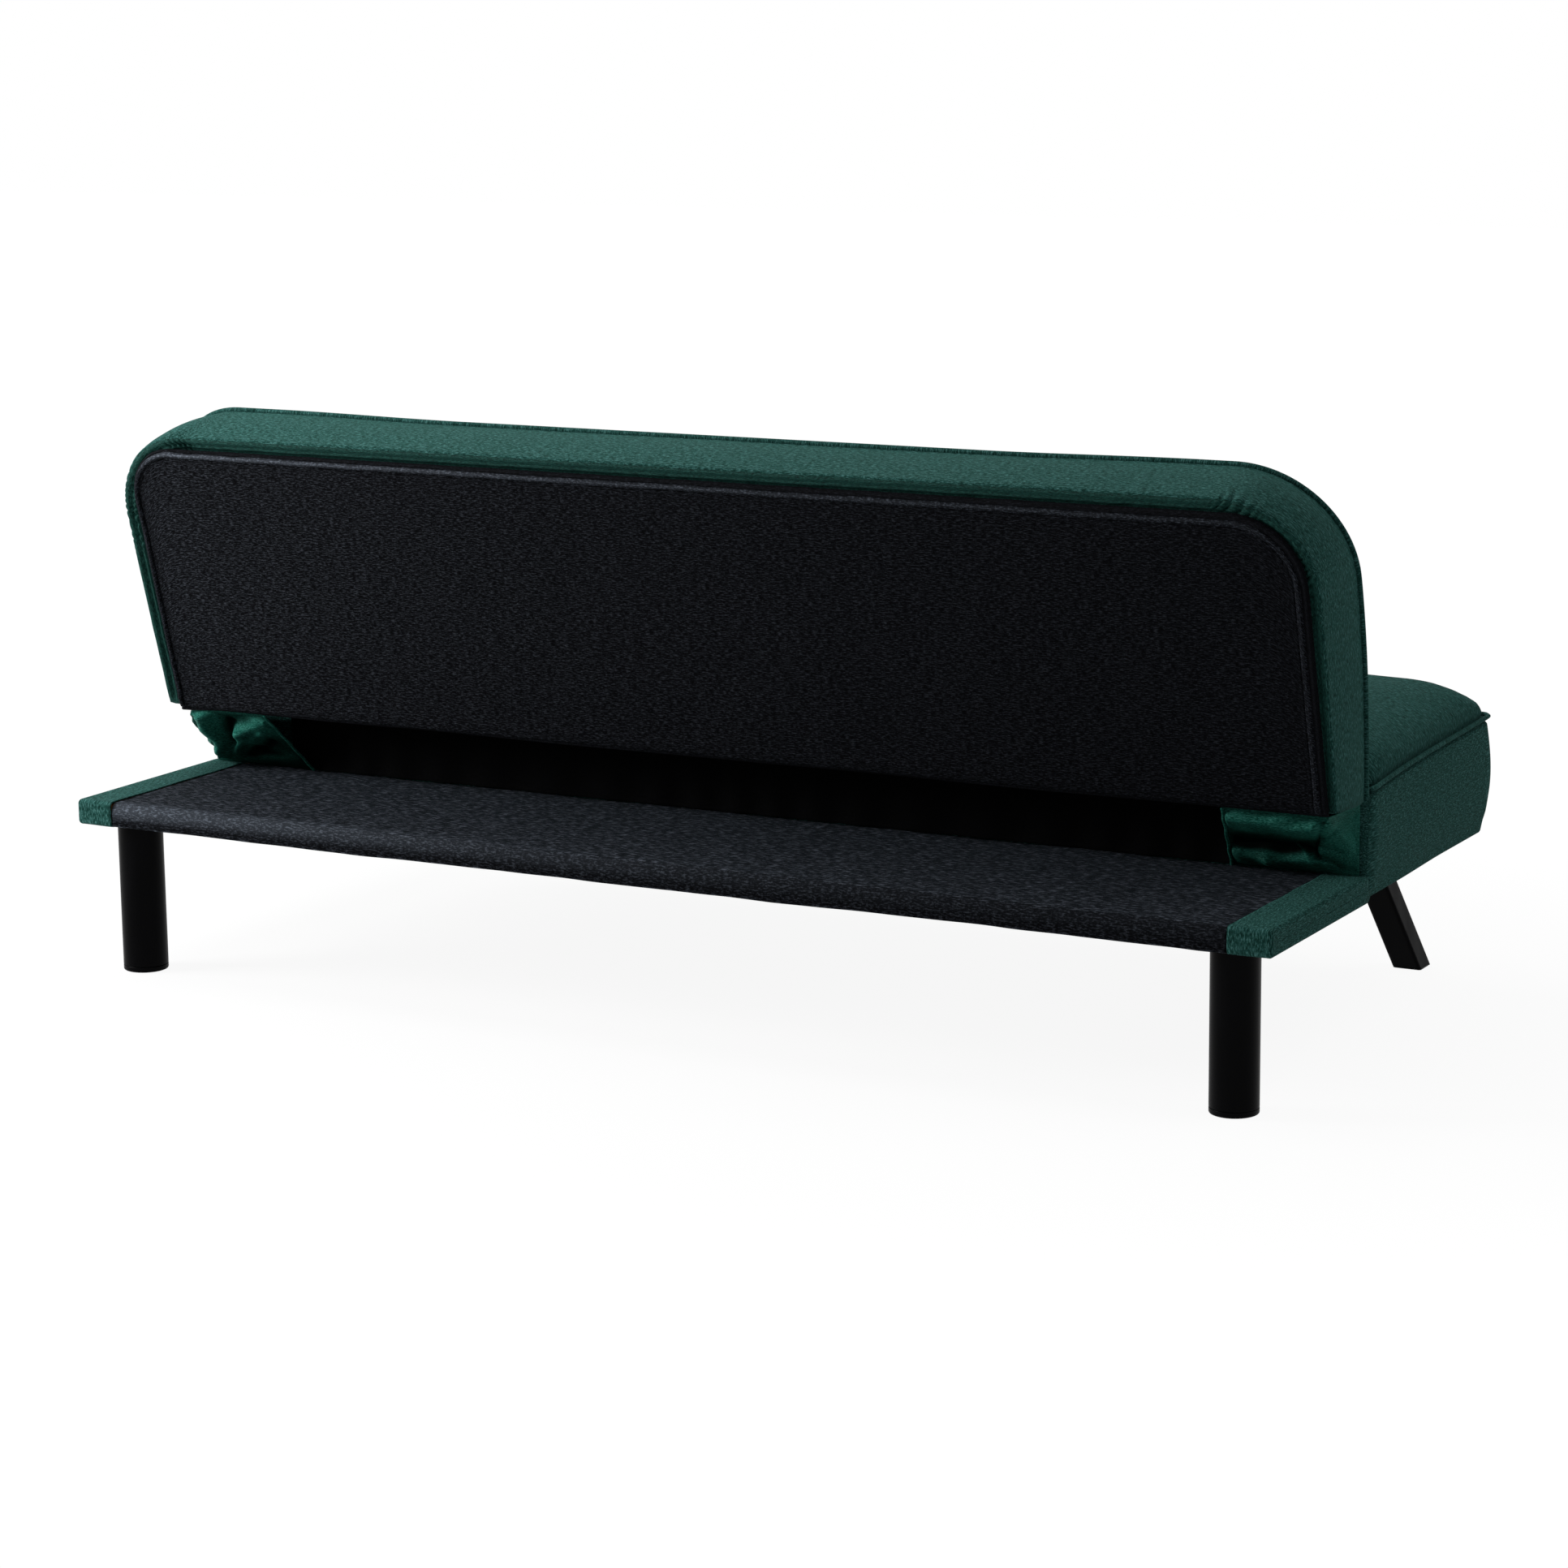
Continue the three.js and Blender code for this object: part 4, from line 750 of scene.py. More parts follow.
@dataclass(frozen=True)
class Finishes:
    """Every finish on the sofa, each made once."""

    green: bpy.types.Material
    border: bpy.types.Material
    gathered: bpy.types.Material
    black: bpy.types.Material
    rolled: bpy.types.Material
    piped: bpy.types.Material
    ledge: bpy.types.Material
    edge: bpy.types.Material
    lining: bpy.types.Material
    plastic: bpy.types.Material
    paint: bpy.types.Material
    zinc: bpy.types.Material
    spring: bpy.types.Material
    timber: bpy.types.Material
    webbing: bpy.types.Material
    thread: bpy.types.Material

    @classmethod
    def mixed(cls) -> "Finishes":
        """Makes them all."""
        green = dict(deep="06251f", ground="1a453f", fleck="558682", fleck_share=0.8, fleck_length=0.006, fleck_width=0.0014)
        black = dict(deep="030304", ground="0b0c0f", fleck="42464e", fleck_share=0.55, gloss=0.02)
        return cls(
            green=WovenFinish("green_weave", **green, sheen=0.06, sheen_tint="7fb3aa").build(),
            # The border is the same green cloth in a darker copy: painted shade over the recessed border.
            border=WovenFinish(
                "green_border_painted_shade_weave", deep="051c18", ground="133a34", fleck="37675f", turn=0.6, roughness=0.6, gloss=0.05,
                sheen=0.06, sheen_tint="7fb3aa"
            ).build(),
            # Its painted tone, near black, is painted shade that the gussets mark in their fold hollows and towards the
            # foot by the inner hem.
            gathered=WovenFinish(
                "green_gathered_cloth", deep="0a3329", ground="1f6054", fleck="5a9d90", fleck_share=0.6, roughness=0.45,
                gloss=0.012, sheen=0.08, sheen_roughness=0.4, sheen_tint="2f8f7c", relief=0.0002, worn="020906",
                painted_light_on_ground=1.0
            ).build(),
            # Its painted tone is painted light: on the panel's field the flecks grow lighter towards positive x, where
            # the key light falls.
            black=WovenFinish(
                "black_weave", **black, sheen=0.025, sheen_tint="8f9aa6", relief=0.0013, fleck_length=0.0066, fleck_width=0.0011,
                worn="858b95", painted_light_on_ground=0.0
            ).build(),
            # The piped ridge is the black cloth in a lighter copy, a painted highlight where the cord catches light;
            # its painted tone adds a painted highlight on the ridge's top run.
            piped=WovenFinish(
                "black_piped_painted_highlight_weave", deep="040405", ground="0c0d10", fleck="454a53", fleck_share=0.8, sheen=0.05, gloss=0.02,
                sheen_tint="a3b0bf", relief=0.0004, fleck_length=0.0045, fleck_width=0.0014, worn="757c87"
            ).build(),
            # Both ledge finishes take a painted highlight tone, laid along the cover's rounded rear edge and strongest
            # towards positive x.
            ledge=WovenFinish(
                "black_ledge_weave", deep="020203", ground="08090b", fleck="5c616b", fleck_share=0.85, gloss=0.02, sheen=0.06,
                sheen_tint="8fa3b5", relief=0.0006, fleck_length=0.0125, fleck_width=0.0024, turn=np.pi / 2, worn="5d646e"
            ).build(),
            edge=WovenFinish(
                "black_ledge_edge_weave", **black, sheen=0.03, sheen_tint="8fa3b5", relief=0.0006, fleck_length=0.0062,
                fleck_width=0.002, worn="6f7782"
            ).build(),
            # Its painted tone is the painted highlight and the faint lighter lines that the panel marks outside its
            # ridge.
            rolled=WovenFinish(
                "black_rolled_edge", deep="050506", ground="0d0e11", fleck="2c2e34", fleck_share=0.6, sheen=0.02,
                sheen_tint="8f9aa6", roughness=0.7, gloss=0.02, worn="6d747f"
            ).build(),
            lining=WovenFinish(
                "black_lining", deep="020202", ground="050506", fleck="0b0b0d", fleck_length=0.003, fleck_width=0.003,
                sheen=0.02, relief=0.0002, gloss=0.03
            ).build(),
            plastic=MouldedFinish("black_moulded_plastic", "030304", "070709", roughness=0.32, gloss=0.03).build(),
            paint=MouldedFinish(
                "black_powder_coat", "030304", "06070a", grain=0.0007, relief=0.00005, roughness=0.4, gloss=0.02
            ).build(),
            zinc=BrushedFinish("zinc_plated_steel", "a6aaad", (0.02, 0.0008, 0.02)).build(),
            spring=BrushedFinish("spring_wire", "70747a", (0.0008, 0.02, 0.0008), 0.4).build(),
            timber=TimberFinish("sawn_softwood").build(),
            webbing=WovenFinish(
                "elastic_webbing", deep="26221d", ground="4a443c", fleck="7a7266", thread=0.004, fleck_length=0.02,
                relief=0.0008, grain=Grain.OBJECT, axes=(0, 2)
            ).build(),
            thread=MouldedFinish("sewing_thread", "1f4a43", "2f6159", roughness=0.6, gloss=0.1).build(),
        )


def dress(piece: bpy.types.Object, *materials: bpy.types.Material) -> None:
    """Puts finishes on a piece. Where it has several, each face already says which one it takes."""
    index = np.zeros(len(piece.data.polygons), np.int32)
    piece.data.polygons.foreach_get("material_index", index)
    piece.data.materials.clear()
    for material in materials:
        piece.data.materials.append(material)
    piece.data.polygons.foreach_set("material_index", index)


def mount(
    piece: bpy.types.Object,
    finish: bpy.types.Material | tuple[bpy.types.Material, ...],
    body: Body | None,
    replaces: tuple[str, ...] = (),
) -> bpy.types.Object:
    """Finishes a piece, ties it to its body, and hides the CAD nodes it stands for.

    Args:
        piece: the new piece.
        finish: its finish, or several in the order that its faces number them.
        body: the body it rides on, or None where it rides on neither.
        replaces: names of CAD nodes.

    Returns:
        The piece.
    """
    dress(piece, *(finish if isinstance(finish, tuple) else (finish,)))
    if replaces:
        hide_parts(*replaces)
    if body is not None:
        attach(piece, body.value)
    LOG.info("%s: %d points", piece.name, len(piece.data.vertices))
    return piece


def stitches(name: str, path: Array, facing: Array, pitch: float, length: float, radius: float) -> bpy.types.Object:
    """A row of raised stitches along a path: each a short six-sided grain, sunk to half its height.

    Args:
        name: of the piece.
        path: the seam's points.
        facing: outward directions, one for each point of the path or one for all.
        pitch: from one stitch to the next.
        length: of a stitch.
        radius: of the thread.

    Returns:
        The new object.
    """
    walked = lengths_along(path)
    middles = np.arange(pitch / 2, walked[-1], pitch)
    facing = np.broadcast_to(facing, path.shape)
    place = np.stack([np.interp(middles, walked, path[:, k]) for k in range(3)], -1)
    along = unit(np.stack([np.interp(middles, walked, np.gradient(path[:, k], walked)) for k in range(3)], -1))
    up = unit(np.stack([np.interp(middles, walked, facing[:, k]) for k in range(3)], -1))
    side = np.cross(along, up)
    turn = np.linspace(0, 2 * np.pi, 6, endpoint=False)
    reach = np.array([-0.5, -0.3, 0.3, 0.5]) * length
    girth = np.array([0.35, 1.0, 1.0, 0.35]) * radius
    ring = np.cos(turn)[:, None] * side[:, None, None] + np.sin(turn)[:, None] * up[:, None, None]
    grain = place[:, None, None] + reach[None, :, None, None] * along[:, None, None] + girth[None, :, None, None] * ring
    squares = grid_faces(4, 6, True)
    faces = (squares[None] + 24 * np.arange(len(middles))[:, None, None]).reshape(-1, 4)
    points = grain.reshape(-1, 3)
    if enclosed(points, faces) < 0:
        faces = faces[:, ::-1]
    made = make_mesh(name, points, faces, np.zeros((faces.size, 2)))
    close_ends(made)
    return made


def close_ends(piece: bpy.types.Object) -> None:
    """Closes every open rim of a piece with one flat face."""
    work = bmesh.new()
    work.from_mesh(piece.data)
    bmesh.ops.holes_fill(work, edges=[edge for edge in work.edges if edge.is_boundary], sides=0)
    work.to_mesh(piece.data)
    work.free()


# Sub-assemblies


@dataclass(frozen=True)
class Seat:
    """The seat: a crowned foam pad, the band of cloth round it, the welt between them, and the dust cover."""

    half: float = 0.8957
    front: float = -0.3558
    rear: float = 0.085
    corner: float = 0.013
    welt_height: float = 0.376
    crown: float = 0.0508
    dome: float = 0.011
    shoulder: tuple[float, float] = (0.105, 0.072)
    rear_drop: float = 0.0205
    rear_lean: float = 0.024
    side_bulge: float = 0.0047
    side_tuck: float = 0.004
    front_bulge: float = 0.017
    front_tuck: float = 0.016
    tuck_from: float = 0.42
    underside: float = 0.2166
    foam_underside: float = 0.346
    pad_inset: float = 0.0036
    welt_radius: float = 0.0032
    welt_out: float = 0.0020
    welt_up: float = 0.0026
    hem_radius: float = 0.015
    slot: tuple[float, float] = (0.838, 0.869)
    turn_under: float = 0.028
    band_flat: tuple[float, float] = (4.5, 0.2)
    cover_half: float = 0.8827
    cover_front: float = -0.2912
    cover_rear: float = 0.3385

    def outline(self, inset: float = 0.0) -> Outline:
        """The pad's edge seen from above, drawn in by an inset."""
        return Outline(
            self.half - inset, self.front + inset, self.rear - inset, self.corner - inset, 0.006
        )

    def edge_height(self, y: Array) -> Array:
        """The welt's height: it falls steadily to the back, and faster beside it by the sixth power of the way."""
        share = np.clip((y - self.front) / (self.rear - self.front), 0, 1)
        return self.welt_height - self.rear_drop * (0.66 * share + 0.34 * share**6)

    def face(self, x: Array, y: Array) -> Array:
        """The crowned face: a quarter round in from each edge, wider at the ends, and a low dome over all."""
        half = self.outline().half_at(y)
        u = np.clip(np.abs(x) / half, 0, 1)
        v = np.clip(2 * (y - self.front) / (self.rear - self.front) - 1, -1, 1)
        from_end = np.clip((half - np.abs(x)) / self.shoulder[0], 0, 1)
        from_side = np.clip(np.minimum(y - self.front, self.rear - y) / self.shoulder[1], 0, 1)
        rise = np.sqrt((1 - (1 - from_end) ** 2) * (1 - (1 - from_side) ** 2))
        return self.edge_height(y) + self.crown * rise + self.dome * (1 - u**4) * (1 - v**2)

    def pad(self) -> bpy.types.Object:
        """The foam slab: its face from the middle line to the edge, its side, and its underside."""
        count = 420
        edge = self.outline(self.pad_inset)
        points, _ = edge.ring(count)
        lower, _ = self.outline(self.pad_inset + 0.003).ring(count)
        shares = np.sin(np.linspace(0, np.pi / 2, 30))
        top = edge.towards_spine(points, shares)
        top_z = self.face(top[..., 0], top[..., 1]) + 0.001
        side = np.repeat(lower[None], 3, 0)
        side_z = np.linspace(1, 0, 3)[:, None] * (self.edge_height(lower[:, 1]) - 0.006 - self.foam_underside) + self.foam_underside
        below = self.outline(self.pad_inset + 0.003).towards_spine(lower, np.linspace(0.9, 0, 10))
        grid = np.concatenate([top, side, below])
        z = np.concatenate([top_z, side_z, np.full((10, count), self.foam_underside)])
        return surface("seat_pad", np.concatenate([grid, z[..., None]], -1), wrap=True, solid=True)

    def soften(self, piece: bpy.types.Object) -> None:
        """After the simulation: broad sat-on unevenness on the face, and a drawn-in line of cloth beside the welt.

        The face's height changes by two ripples, of hand-wide and arm-long pitch; near the edge the cloth dips
        and puckers by a short ripple that runs along the seam.

        Args:
            piece: the swelled pad.
        """
        co = np.empty(len(piece.data.vertices) * 3, np.float32)
        piece.data.vertices.foreach_get("co", co)
        place = co.reshape(-1, 3).astype(float)
        x, y = place[:, 0], place[:, 1]
        above = ease((place[:, 2] - self.welt_height + 0.02) / 0.02)
        inside = np.minimum(self.outline().half_at(y) - np.abs(x), np.minimum(y - self.front, self.rear - y))
        away = ease(inside / 0.09)
        rise = 0.0022 * ripple(place[:, :2], 0.55, 11) * away + 0.0007 * ripple(place[:, :2], 0.12, 12) * away
        pucker = 0.0008 * ripple(place[:, :2], 0.035, 13, 12) * bump(inside - 0.012, 0.014)
        place[:, 2] += (rise + pucker) * above
        piece.data.vertices.foreach_set("co", place.astype(np.float32).ravel())
        piece.data.update()

    def band(self) -> bpy.types.Object:
        """The band from the welt down to its turned-in hem.

        A point of the wall is the edge, moved out by a half sine of the way down, drawn in below at the front by
        the cube of the way past the middle, and leaned back at the rear; then it turns under by the hem.
        """
        count = 760
        edge, normal = self.outline().ring(count)
        share = np.linspace(0.0, 1.0, 34)[:, None] ** 1.4
        swell, tuck = np.sin(np.pi * share), np.maximum(0, share - self.tuck_from) / (1 - self.tuck_from)
        out_x, out_y = normal[:, 0], normal[:, 1]
        lean = np.where(out_y > 0.5, self.rear_lean * np.minimum(1, share / 0.3), 0)
        front = np.minimum(0, out_y) * (self.front_bulge * swell - self.front_tuck * tuck**3)
        drawn = self.side_tuck * tuck**3 * ease(-edge[:, 1] / 0.2)
        x = edge[:, 0] + out_x * (swell * self.side_bulge - drawn)
        y = edge[:, 1] + lean + front
        top = self.edge_height(edge[:, 1]) - 0.0005
        radius = 0.004 + (self.hem_radius - 0.004) * np.maximum(0, -out_y)
        z = top + (self.underside + radius - top) * share
        at = np.stack(np.broadcast_arrays(edge[:, 0], edge[:, 1], z), -1)
        loose = np.sin(np.pi * share) ** 0.5
        relief = 0.0012 * ripple(at, 0.32, 21) * loose
        seam = bump(share - 0.02, 0.018) * (0.0044 + 0.0008 * ripple(at, 0.03, 22, 12))
        hem_pull = bump(share - 0.93, 0.06) * 0.0012
        shift = relief - seam - hem_pull
        x = x + out_x * shift
        y = y + out_y * shift
        turn = np.linspace(0, 1, 9)[1:, None]
        arc = np.minimum(turn * 2, 1) * np.pi / 2
        inward = radius * (1 - np.cos(arc)) + self.turn_under * np.maximum(0, turn * 2 - 1)
        under_x = x[-1] - out_x * inward
        under_y = y[-1] - out_y * inward
        under_z = np.broadcast_to(self.underside + radius * (1 - np.sin(arc)), under_x.shape)
        flange = np.array([[0.012], [0.008], [0.004], [0.0014]])
        tuck_x, tuck_y = edge[:, 0] - out_x * flange, edge[:, 1] - out_y * flange
        tuck_z = self.edge_height(edge[:, 1]) + 0.0006 - 0.06 * flange
        grid = np.stack(
            [np.concatenate([tuck_x, x, under_x]), np.concatenate([tuck_y, y, under_y]), np.concatenate([tuck_z, z, under_z])], -1
        )
        rear_wall = (grid[:-1, :, 1] > self.rear - 0.002) & (grid[:-1, :, 2] > LAYOUT.ledge_top)
        slot = (np.abs(grid[:-1, :, 0]) > self.slot[0]) & (np.abs(grid[:-1, :, 0]) < self.slot[1])
        made = surface("seat_band", grid, wrap=True, flip=True, keep=~(rear_wall & slot).ravel())
        thicken(made, 0.0015, -1.0)
        return made

    def welt_path(self) -> Array:
        """The welt's middle, from the back round one side, the front and the other side to the back."""
        line = Outline(self.half, -self.rear, -self.front, 0.001, self.corner)
        points, normal = line.arch(260)
        points, normal = points * [1, -1], normal * [1, -1]
        spread = points + normal * self.welt_out
        height = self.edge_height(points[:, 1]) + self.welt_up
        return np.concatenate([spread, height[:, None]], 1)

    def dust_cover(self) -> bpy.types.Object:
        """The thin cloth under the base, hanging by a square of sines between the bearers and flat at its edges."""
        u, v = np.linspace(-1, 1, 120)[None, :], np.linspace(0, 1, 48)[:, None]
        x = self.cover_half * u + 0 * v
        y = self.cover_front + (self.cover_rear - self.cover_front) * v + 0 * u
        bay = np.sin(np.pi * np.clip((np.abs(x) - 0.34) / 0.44, 0, 1)) ** 2
        middle = np.cos(np.pi / 2 * np.clip(x / 0.27, -1, 1)) ** 2
        sag = 0.006 * np.sin(np.pi * v) ** 2 * np.maximum(bay, middle)
        creases = 0.0006 * ripple(np.stack([x, y], -1), 0.09, 31) * np.sin(np.pi * v) ** 2
        grid = np.stack([x, y, 0.2154 - sag - np.abs(creases)], -1)
        made = surface("dust_cover_cloth", grid, flip=True)
        thicken(made, 0.0008)
        return made

    def build(self, finishes: Finishes) -> None:
        """Builds, dresses and places the seat's pieces.

        Args:
            finishes: the sofa's finishes.
        """
        pad = self.pad()
        Puff(cap=0.008).swell(pad, (self.welt_height - 0.010, self.welt_height + 0.010), Vector((0, 0, 1)))
        self.soften(pad)
        weave_from_place(pad, Vector((1, 0, 0)), Vector((0, 1, 0)))
        subdivide(pad)
        mount(pad, finishes.green, Body.BASE, ("seat_cushion",))
        band = mount(self.band(), finishes.green, Body.BASE)
        welt = bead("seat_welt_cord", self.welt_path(), np.array([0.0, 0.0, 1.0]), self.welt_radius, self.welt_radius)
        mount(welt, finishes.green, Body.BASE, ("seat_welt",))
        cover = mount(self.dust_cover(), finishes.lining, Body.BASE, ("seat_dust_cover",))
        rim = np.array([[-1, 0], [1, 0], [1, 1], [-1, 1], [-1, 0]], float)
        corners = np.stack(
            [rim[:, 0] * (self.cover_half - 0.008), self.cover_front + 0.008 + rim[:, 1] * (self.cover_rear - self.cover_front - 0.016)], -1
        )
        walked = lengths_along(corners)
        at = np.linspace(0, walked[-1], 400)
        path = np.stack([np.interp(at, walked, corners[:, 0]), np.interp(at, walked, corners[:, 1]), np.full(400, 0.2147)], -1)
        staples = stitches("dust_cover_staples", path, np.array([0.0, 0.0, -1.0]), 0.045, 0.011, 0.0006)
        mount(staples, finishes.zinc, Body.BASE)


@dataclass(frozen=True)
class Backrest:
    """The back: a foam pad on its frame, the band round it, the gathered border, the panel and the two welts."""

    half: float = 0.8943
    low: float = 0.010
    high: float = 0.4502
    corner: float = 0.122
    corner_left: float = 0.147
    sag: float = 0.0036
    edge_low: float = 0.0244
    edge_high: float = 0.053
    belly: float = 0.023
    rear_plane: float = 0.068
    rear_half: float = 0.9036
    rear_high: float = 0.4575
    rear_corner: float = 0.122
    rear_aside: float = 0.0050
    foot_draw: float = 0.004
    low_rear: float = 0.0372
    side_bulge: float = 0.0022
    top_bulge: float = 0.004
    corner_bulge: float = 0.0036
    crown: float = 0.014
    pad_rear: float = 0.0368
    welt_radius: float = 0.004
    welt_out: float = 0.0006
    welt_forward: float = 0.0024
    black_half: float = 0.8845
    black_high: float = 0.439
    black_corner: tuple[float, float] = (0.098, 0.078)
    border_depth: float = 0.0050
    crease_radius: float = 0.0038
    roll_radius: float = 0.0023
    ridge_inset: tuple[float, float] = (0.0130, 0.0078)
    ridge_half: tuple[float, float] = (0.0038, 0.0032)
    ridge_height: float = 0.0038
    slot: tuple[float, float] = (0.838, 0.869)

    def outline(self, inset: float = 0.0) -> Outline:
        """The pad's edge seen square on, drawn in by an inset."""
        return Outline(
            self.half - inset, self.low + inset, self.high - inset, 0.004, self.corner - inset, self.corner_left - inset
        )

    def settled(self, across: Array, up: Array) -> Array:
        """Heights up the back with its top edge let down in the middle: by the cube of the way up, and a smooth step."""
        share = np.clip((up - self.low) / (self.high - self.low), 0, 1)
        return up - self.sag * share**3 * (1 - ease((np.abs(across) - 0.4) / 0.3))

    def rear_outline(self) -> Outline:
        """The crease where the band turns on to the rear, seen square on."""
        return Outline(self.rear_half, self.low_rear, self.rear_high, 0.004, self.rear_corner)

    def black_outline(self, inset: float = 0.0) -> Outline:
        """The outer edge of the black, drawn in by an inset."""
        left, right = self.black_corner
        return Outline(
            self.black_half - inset, self.low_rear, self.black_high - inset, 0.001, right - inset, left - inset
        )

    def edge(self, up: Array) -> Array:
        """How far forward the front edge lies: a straight run up the back, and a half sine that curves it forward."""
        share = np.clip((up - self.low) / (self.high - self.low), 0, 1)
        return self.edge_low + (self.edge_high - self.edge_low) * share + self.belly * np.sin(np.pi * share)

    def pad(self) -> bpy.types.Object:
        """The foam slab: its crowned face from the middle line to the edge, its side, and its flat rear."""
        count = 420
        edge, _ = self.outline(0.001).ring(count)
        inner, _ = self.outline(0.005).ring(count)
        face = self.outline(0.001).towards_spine(edge, np.sin(np.linspace(0, np.pi / 2, 30)))
        u = np.clip(np.abs(face[..., 0]) / self.outline().half_at(face[..., 1]), 0, 1)
        v = 2 * (face[..., 1] - self.low) / (self.high - self.low) - 1
        face_c = self.edge(face[..., 1]) + self.crown * (1 - u**10) * (1 - v**4) + 0.001
        side_c = np.linspace(1, 0, 8)[:, None] * (self.edge(inner[:, 1]) - 0.006 + self.pad_rear) - self.pad_rear
        rear = self.outline(0.005).towards_spine(inner, np.linspace(0.9, 0, 10))
        plan = np.concatenate([face, np.repeat(inner[None], 8, 0), rear])
        depth = np.concatenate([face_c, side_c, np.full((10, count), -self.pad_rear)])
        up = self.settled(plan[..., 0], plan[..., 1])
        return surface("back_pad", LAYOUT.reclined(plan[..., 0], depth, up), wrap=True, solid=True)

    def soften(self, piece: bpy.types.Object) -> None:
        """After the simulation: broad leaned-on unevenness, and puckers beside the welt, all along the face's normal."""
        co = np.empty(len(piece.data.vertices) * 3, np.float32)
        piece.data.vertices.foreach_get("co", co)
        place = co.reshape(-1, 3).astype(float)
        cos, sin = np.cos(LAYOUT.recline), np.sin(LAYOUT.recline)
        dy, dz = place[:, 1] - LAYOUT.pivot_y, place[:, 2] - LAYOUT.pivot_z
        ahead, up = -dy * cos + dz * sin, dy * sin + dz * cos
        plan = np.stack([place[:, 0], up], -1)
        inside = np.minimum(self.outline().half_at(up) - np.abs(plan[:, 0]), np.minimum(up - self.low, self.high - up))
        front = ease((ahead - self.edge(up) + 0.015) / 0.015)
        away = ease(inside / 0.09)
        rise = 0.0024 * ripple(plan, 0.5, 41) * away + 0.0006 * ripple(plan, 0.11, 42) * away
        rise = (rise + 0.0008 * ripple(plan, 0.035, 43, 12) * bump(inside - 0.012, 0.014)) * front
        place[:, 1] -= rise * cos
        place[:, 2] += rise * sin
        piece.data.vertices.foreach_set("co", place.astype(np.float32).ravel())
        piece.data.update()

    def band(self) -> bpy.types.Object:
        """The band from the front welt over the side to the rear, its crease, and the gathered border.

        The wall goes straight from a place on the front edge to the facing place on the crease, swelled by half
        sines. It turns over the crease, sinks smoothly into the border, and dives under the panel. About the top
        corners the border is pleated: a sharp-valleyed wave across the way round, which dies away on the wall.
        """
        front = self.outline()
        number = front.crowded(720, 7.0, 0.12)
        edge, normal = front.numbered(number)
        crease, _ = self.rear_outline().numbered(number)
        a, b = edge[:, 0], edge[:, 1]
        share = np.linspace(0, 1, 26)[:, None]
        swell = np.sin(np.pi * share)
        start = self.edge(b) - 0.0005
        low_share = np.clip((self.rear_high - crease[:, 1]) / (self.rear_high - self.low_rear), 0, 1)
        crease_a = crease[:, 0] * (1 - self.foot_draw * low_share**3) + self.rear_aside
        settled = self.settled(a, b)
        turned = self.corner_bulge * (2 * np.abs(normal[:, 0] * normal[:, 1])) * (normal[:, 1] > 0)
        radius = self.crease_radius
        wall_a = a + (crease_a - a) * share + normal[:, 0] * swell * (self.side_bulge + turned)
        wall_b = settled + (crease[:, 1] - settled) * share
        wall_b = wall_b + np.maximum(0, normal[:, 1]) * (self.top_bulge + turned) * swell
        wall_c = start + (radius - self.rear_plane - start) * share
        at = np.stack(np.broadcast_arrays(a, b, wall_c), -1)
        loose = swell**0.5
        shift = 0.0011 * ripple(at, 0.3, 51) * loose
        shift = shift - bump(share - 0.06, 0.04) * (0.0008 + 0.0005 * ripple(at, 0.03, 52, 12))
        shift = shift + 0.0006 * ripple(at, 0.06, 54) * bump(share - 0.9, 0.12)
        walked = lengths_along(crease)
        middle = 0.3 * self.rear_corner
        away = np.hypot(np.abs(crease[:, 0]) - self.rear_half + middle, crease[:, 1] - self.rear_high + middle)
        corner = bump(away - 0.085, 0.055) * (0.4 + 0.6 * ease(0.5 + ripple(walked[:, None], 0.09, 57)))
        pleats = np.abs(np.sin(walked / 0.0036 + 1.4 * np.sin(walked / 0.013))) ** 0.7 - 0.7
        shift = shift + 0.0036 * pleats * corner * ease((share - 0.72) / 0.28)
        wall_a, wall_b = wall_a + normal[:, 0] * shift, wall_b + normal[:, 1] * shift
        turn = np.linspace(0, 1, 6)[1:, None] * np.pi / 2
        fold_a = wall_a[-1] - normal[:, 0] * radius * (1 - np.cos(turn))
        fold_b = wall_b[-1] - normal[:, 1] * radius * (1 - np.cos(turn))
        fold_c = np.broadcast_to(radius - self.rear_plane - radius * np.sin(turn), fold_a.shape)
        across = np.linspace(0, 1, 34)[1:, None]
        in_a = fold_a[-1] * (1 - 0.036 * across)
        in_b = self.low_rear + (fold_b[-1] - self.low_rear) * (1 - 0.072 * across)
        sunk = self.border_depth * ease((across - 0.06) / 0.24) - 0.0030 * bump(across - 0.36, 0.07)
        sunk = sunk * ease((in_b - self.low_rear) / 0.02)
        proud = 0.0026 * np.maximum(0, normal[:, 1]) * bump(across - 0.22, 0.2)
        gathers = 0.0085 * pleats * corner * bump(across - 0.24, 0.22)
        creased = 0.0007 * ripple(np.stack([a, b], -1), 0.05, 53, 12) * ease(across * 3)
        in_c = -self.rear_plane + sunk - proud - gathers + creased
        flange = np.array([[0.012], [0.008], [0.004], [0.0014]])
        tuck_a, tuck_b = a - normal[:, 0] * flange, settled - normal[:, 1] * flange
        tuck_c = self.edge(b) + 0.0006 - 0.06 * flange
        plan_a, plan_b = np.concatenate([tuck_a, wall_a, fold_a, in_a]), np.concatenate([tuck_b, wall_b, fold_b, in_b])
        grid = LAYOUT.reclined(plan_a, np.concatenate([tuck_c, wall_c, fold_c, in_c]), plan_b)
        under = (normal[:, 1] < -0.7) & (np.abs(a) > self.slot[0]) & (np.abs(a) < self.slot[1])
        kept = ~np.broadcast_to(under, plan_a[:-1].shape).ravel()
        made = surface("back_band", grid, wrap=True, flip=True, keep=kept)
        rows = np.repeat(np.arange(len(grid) - 1), len(a))[kept]
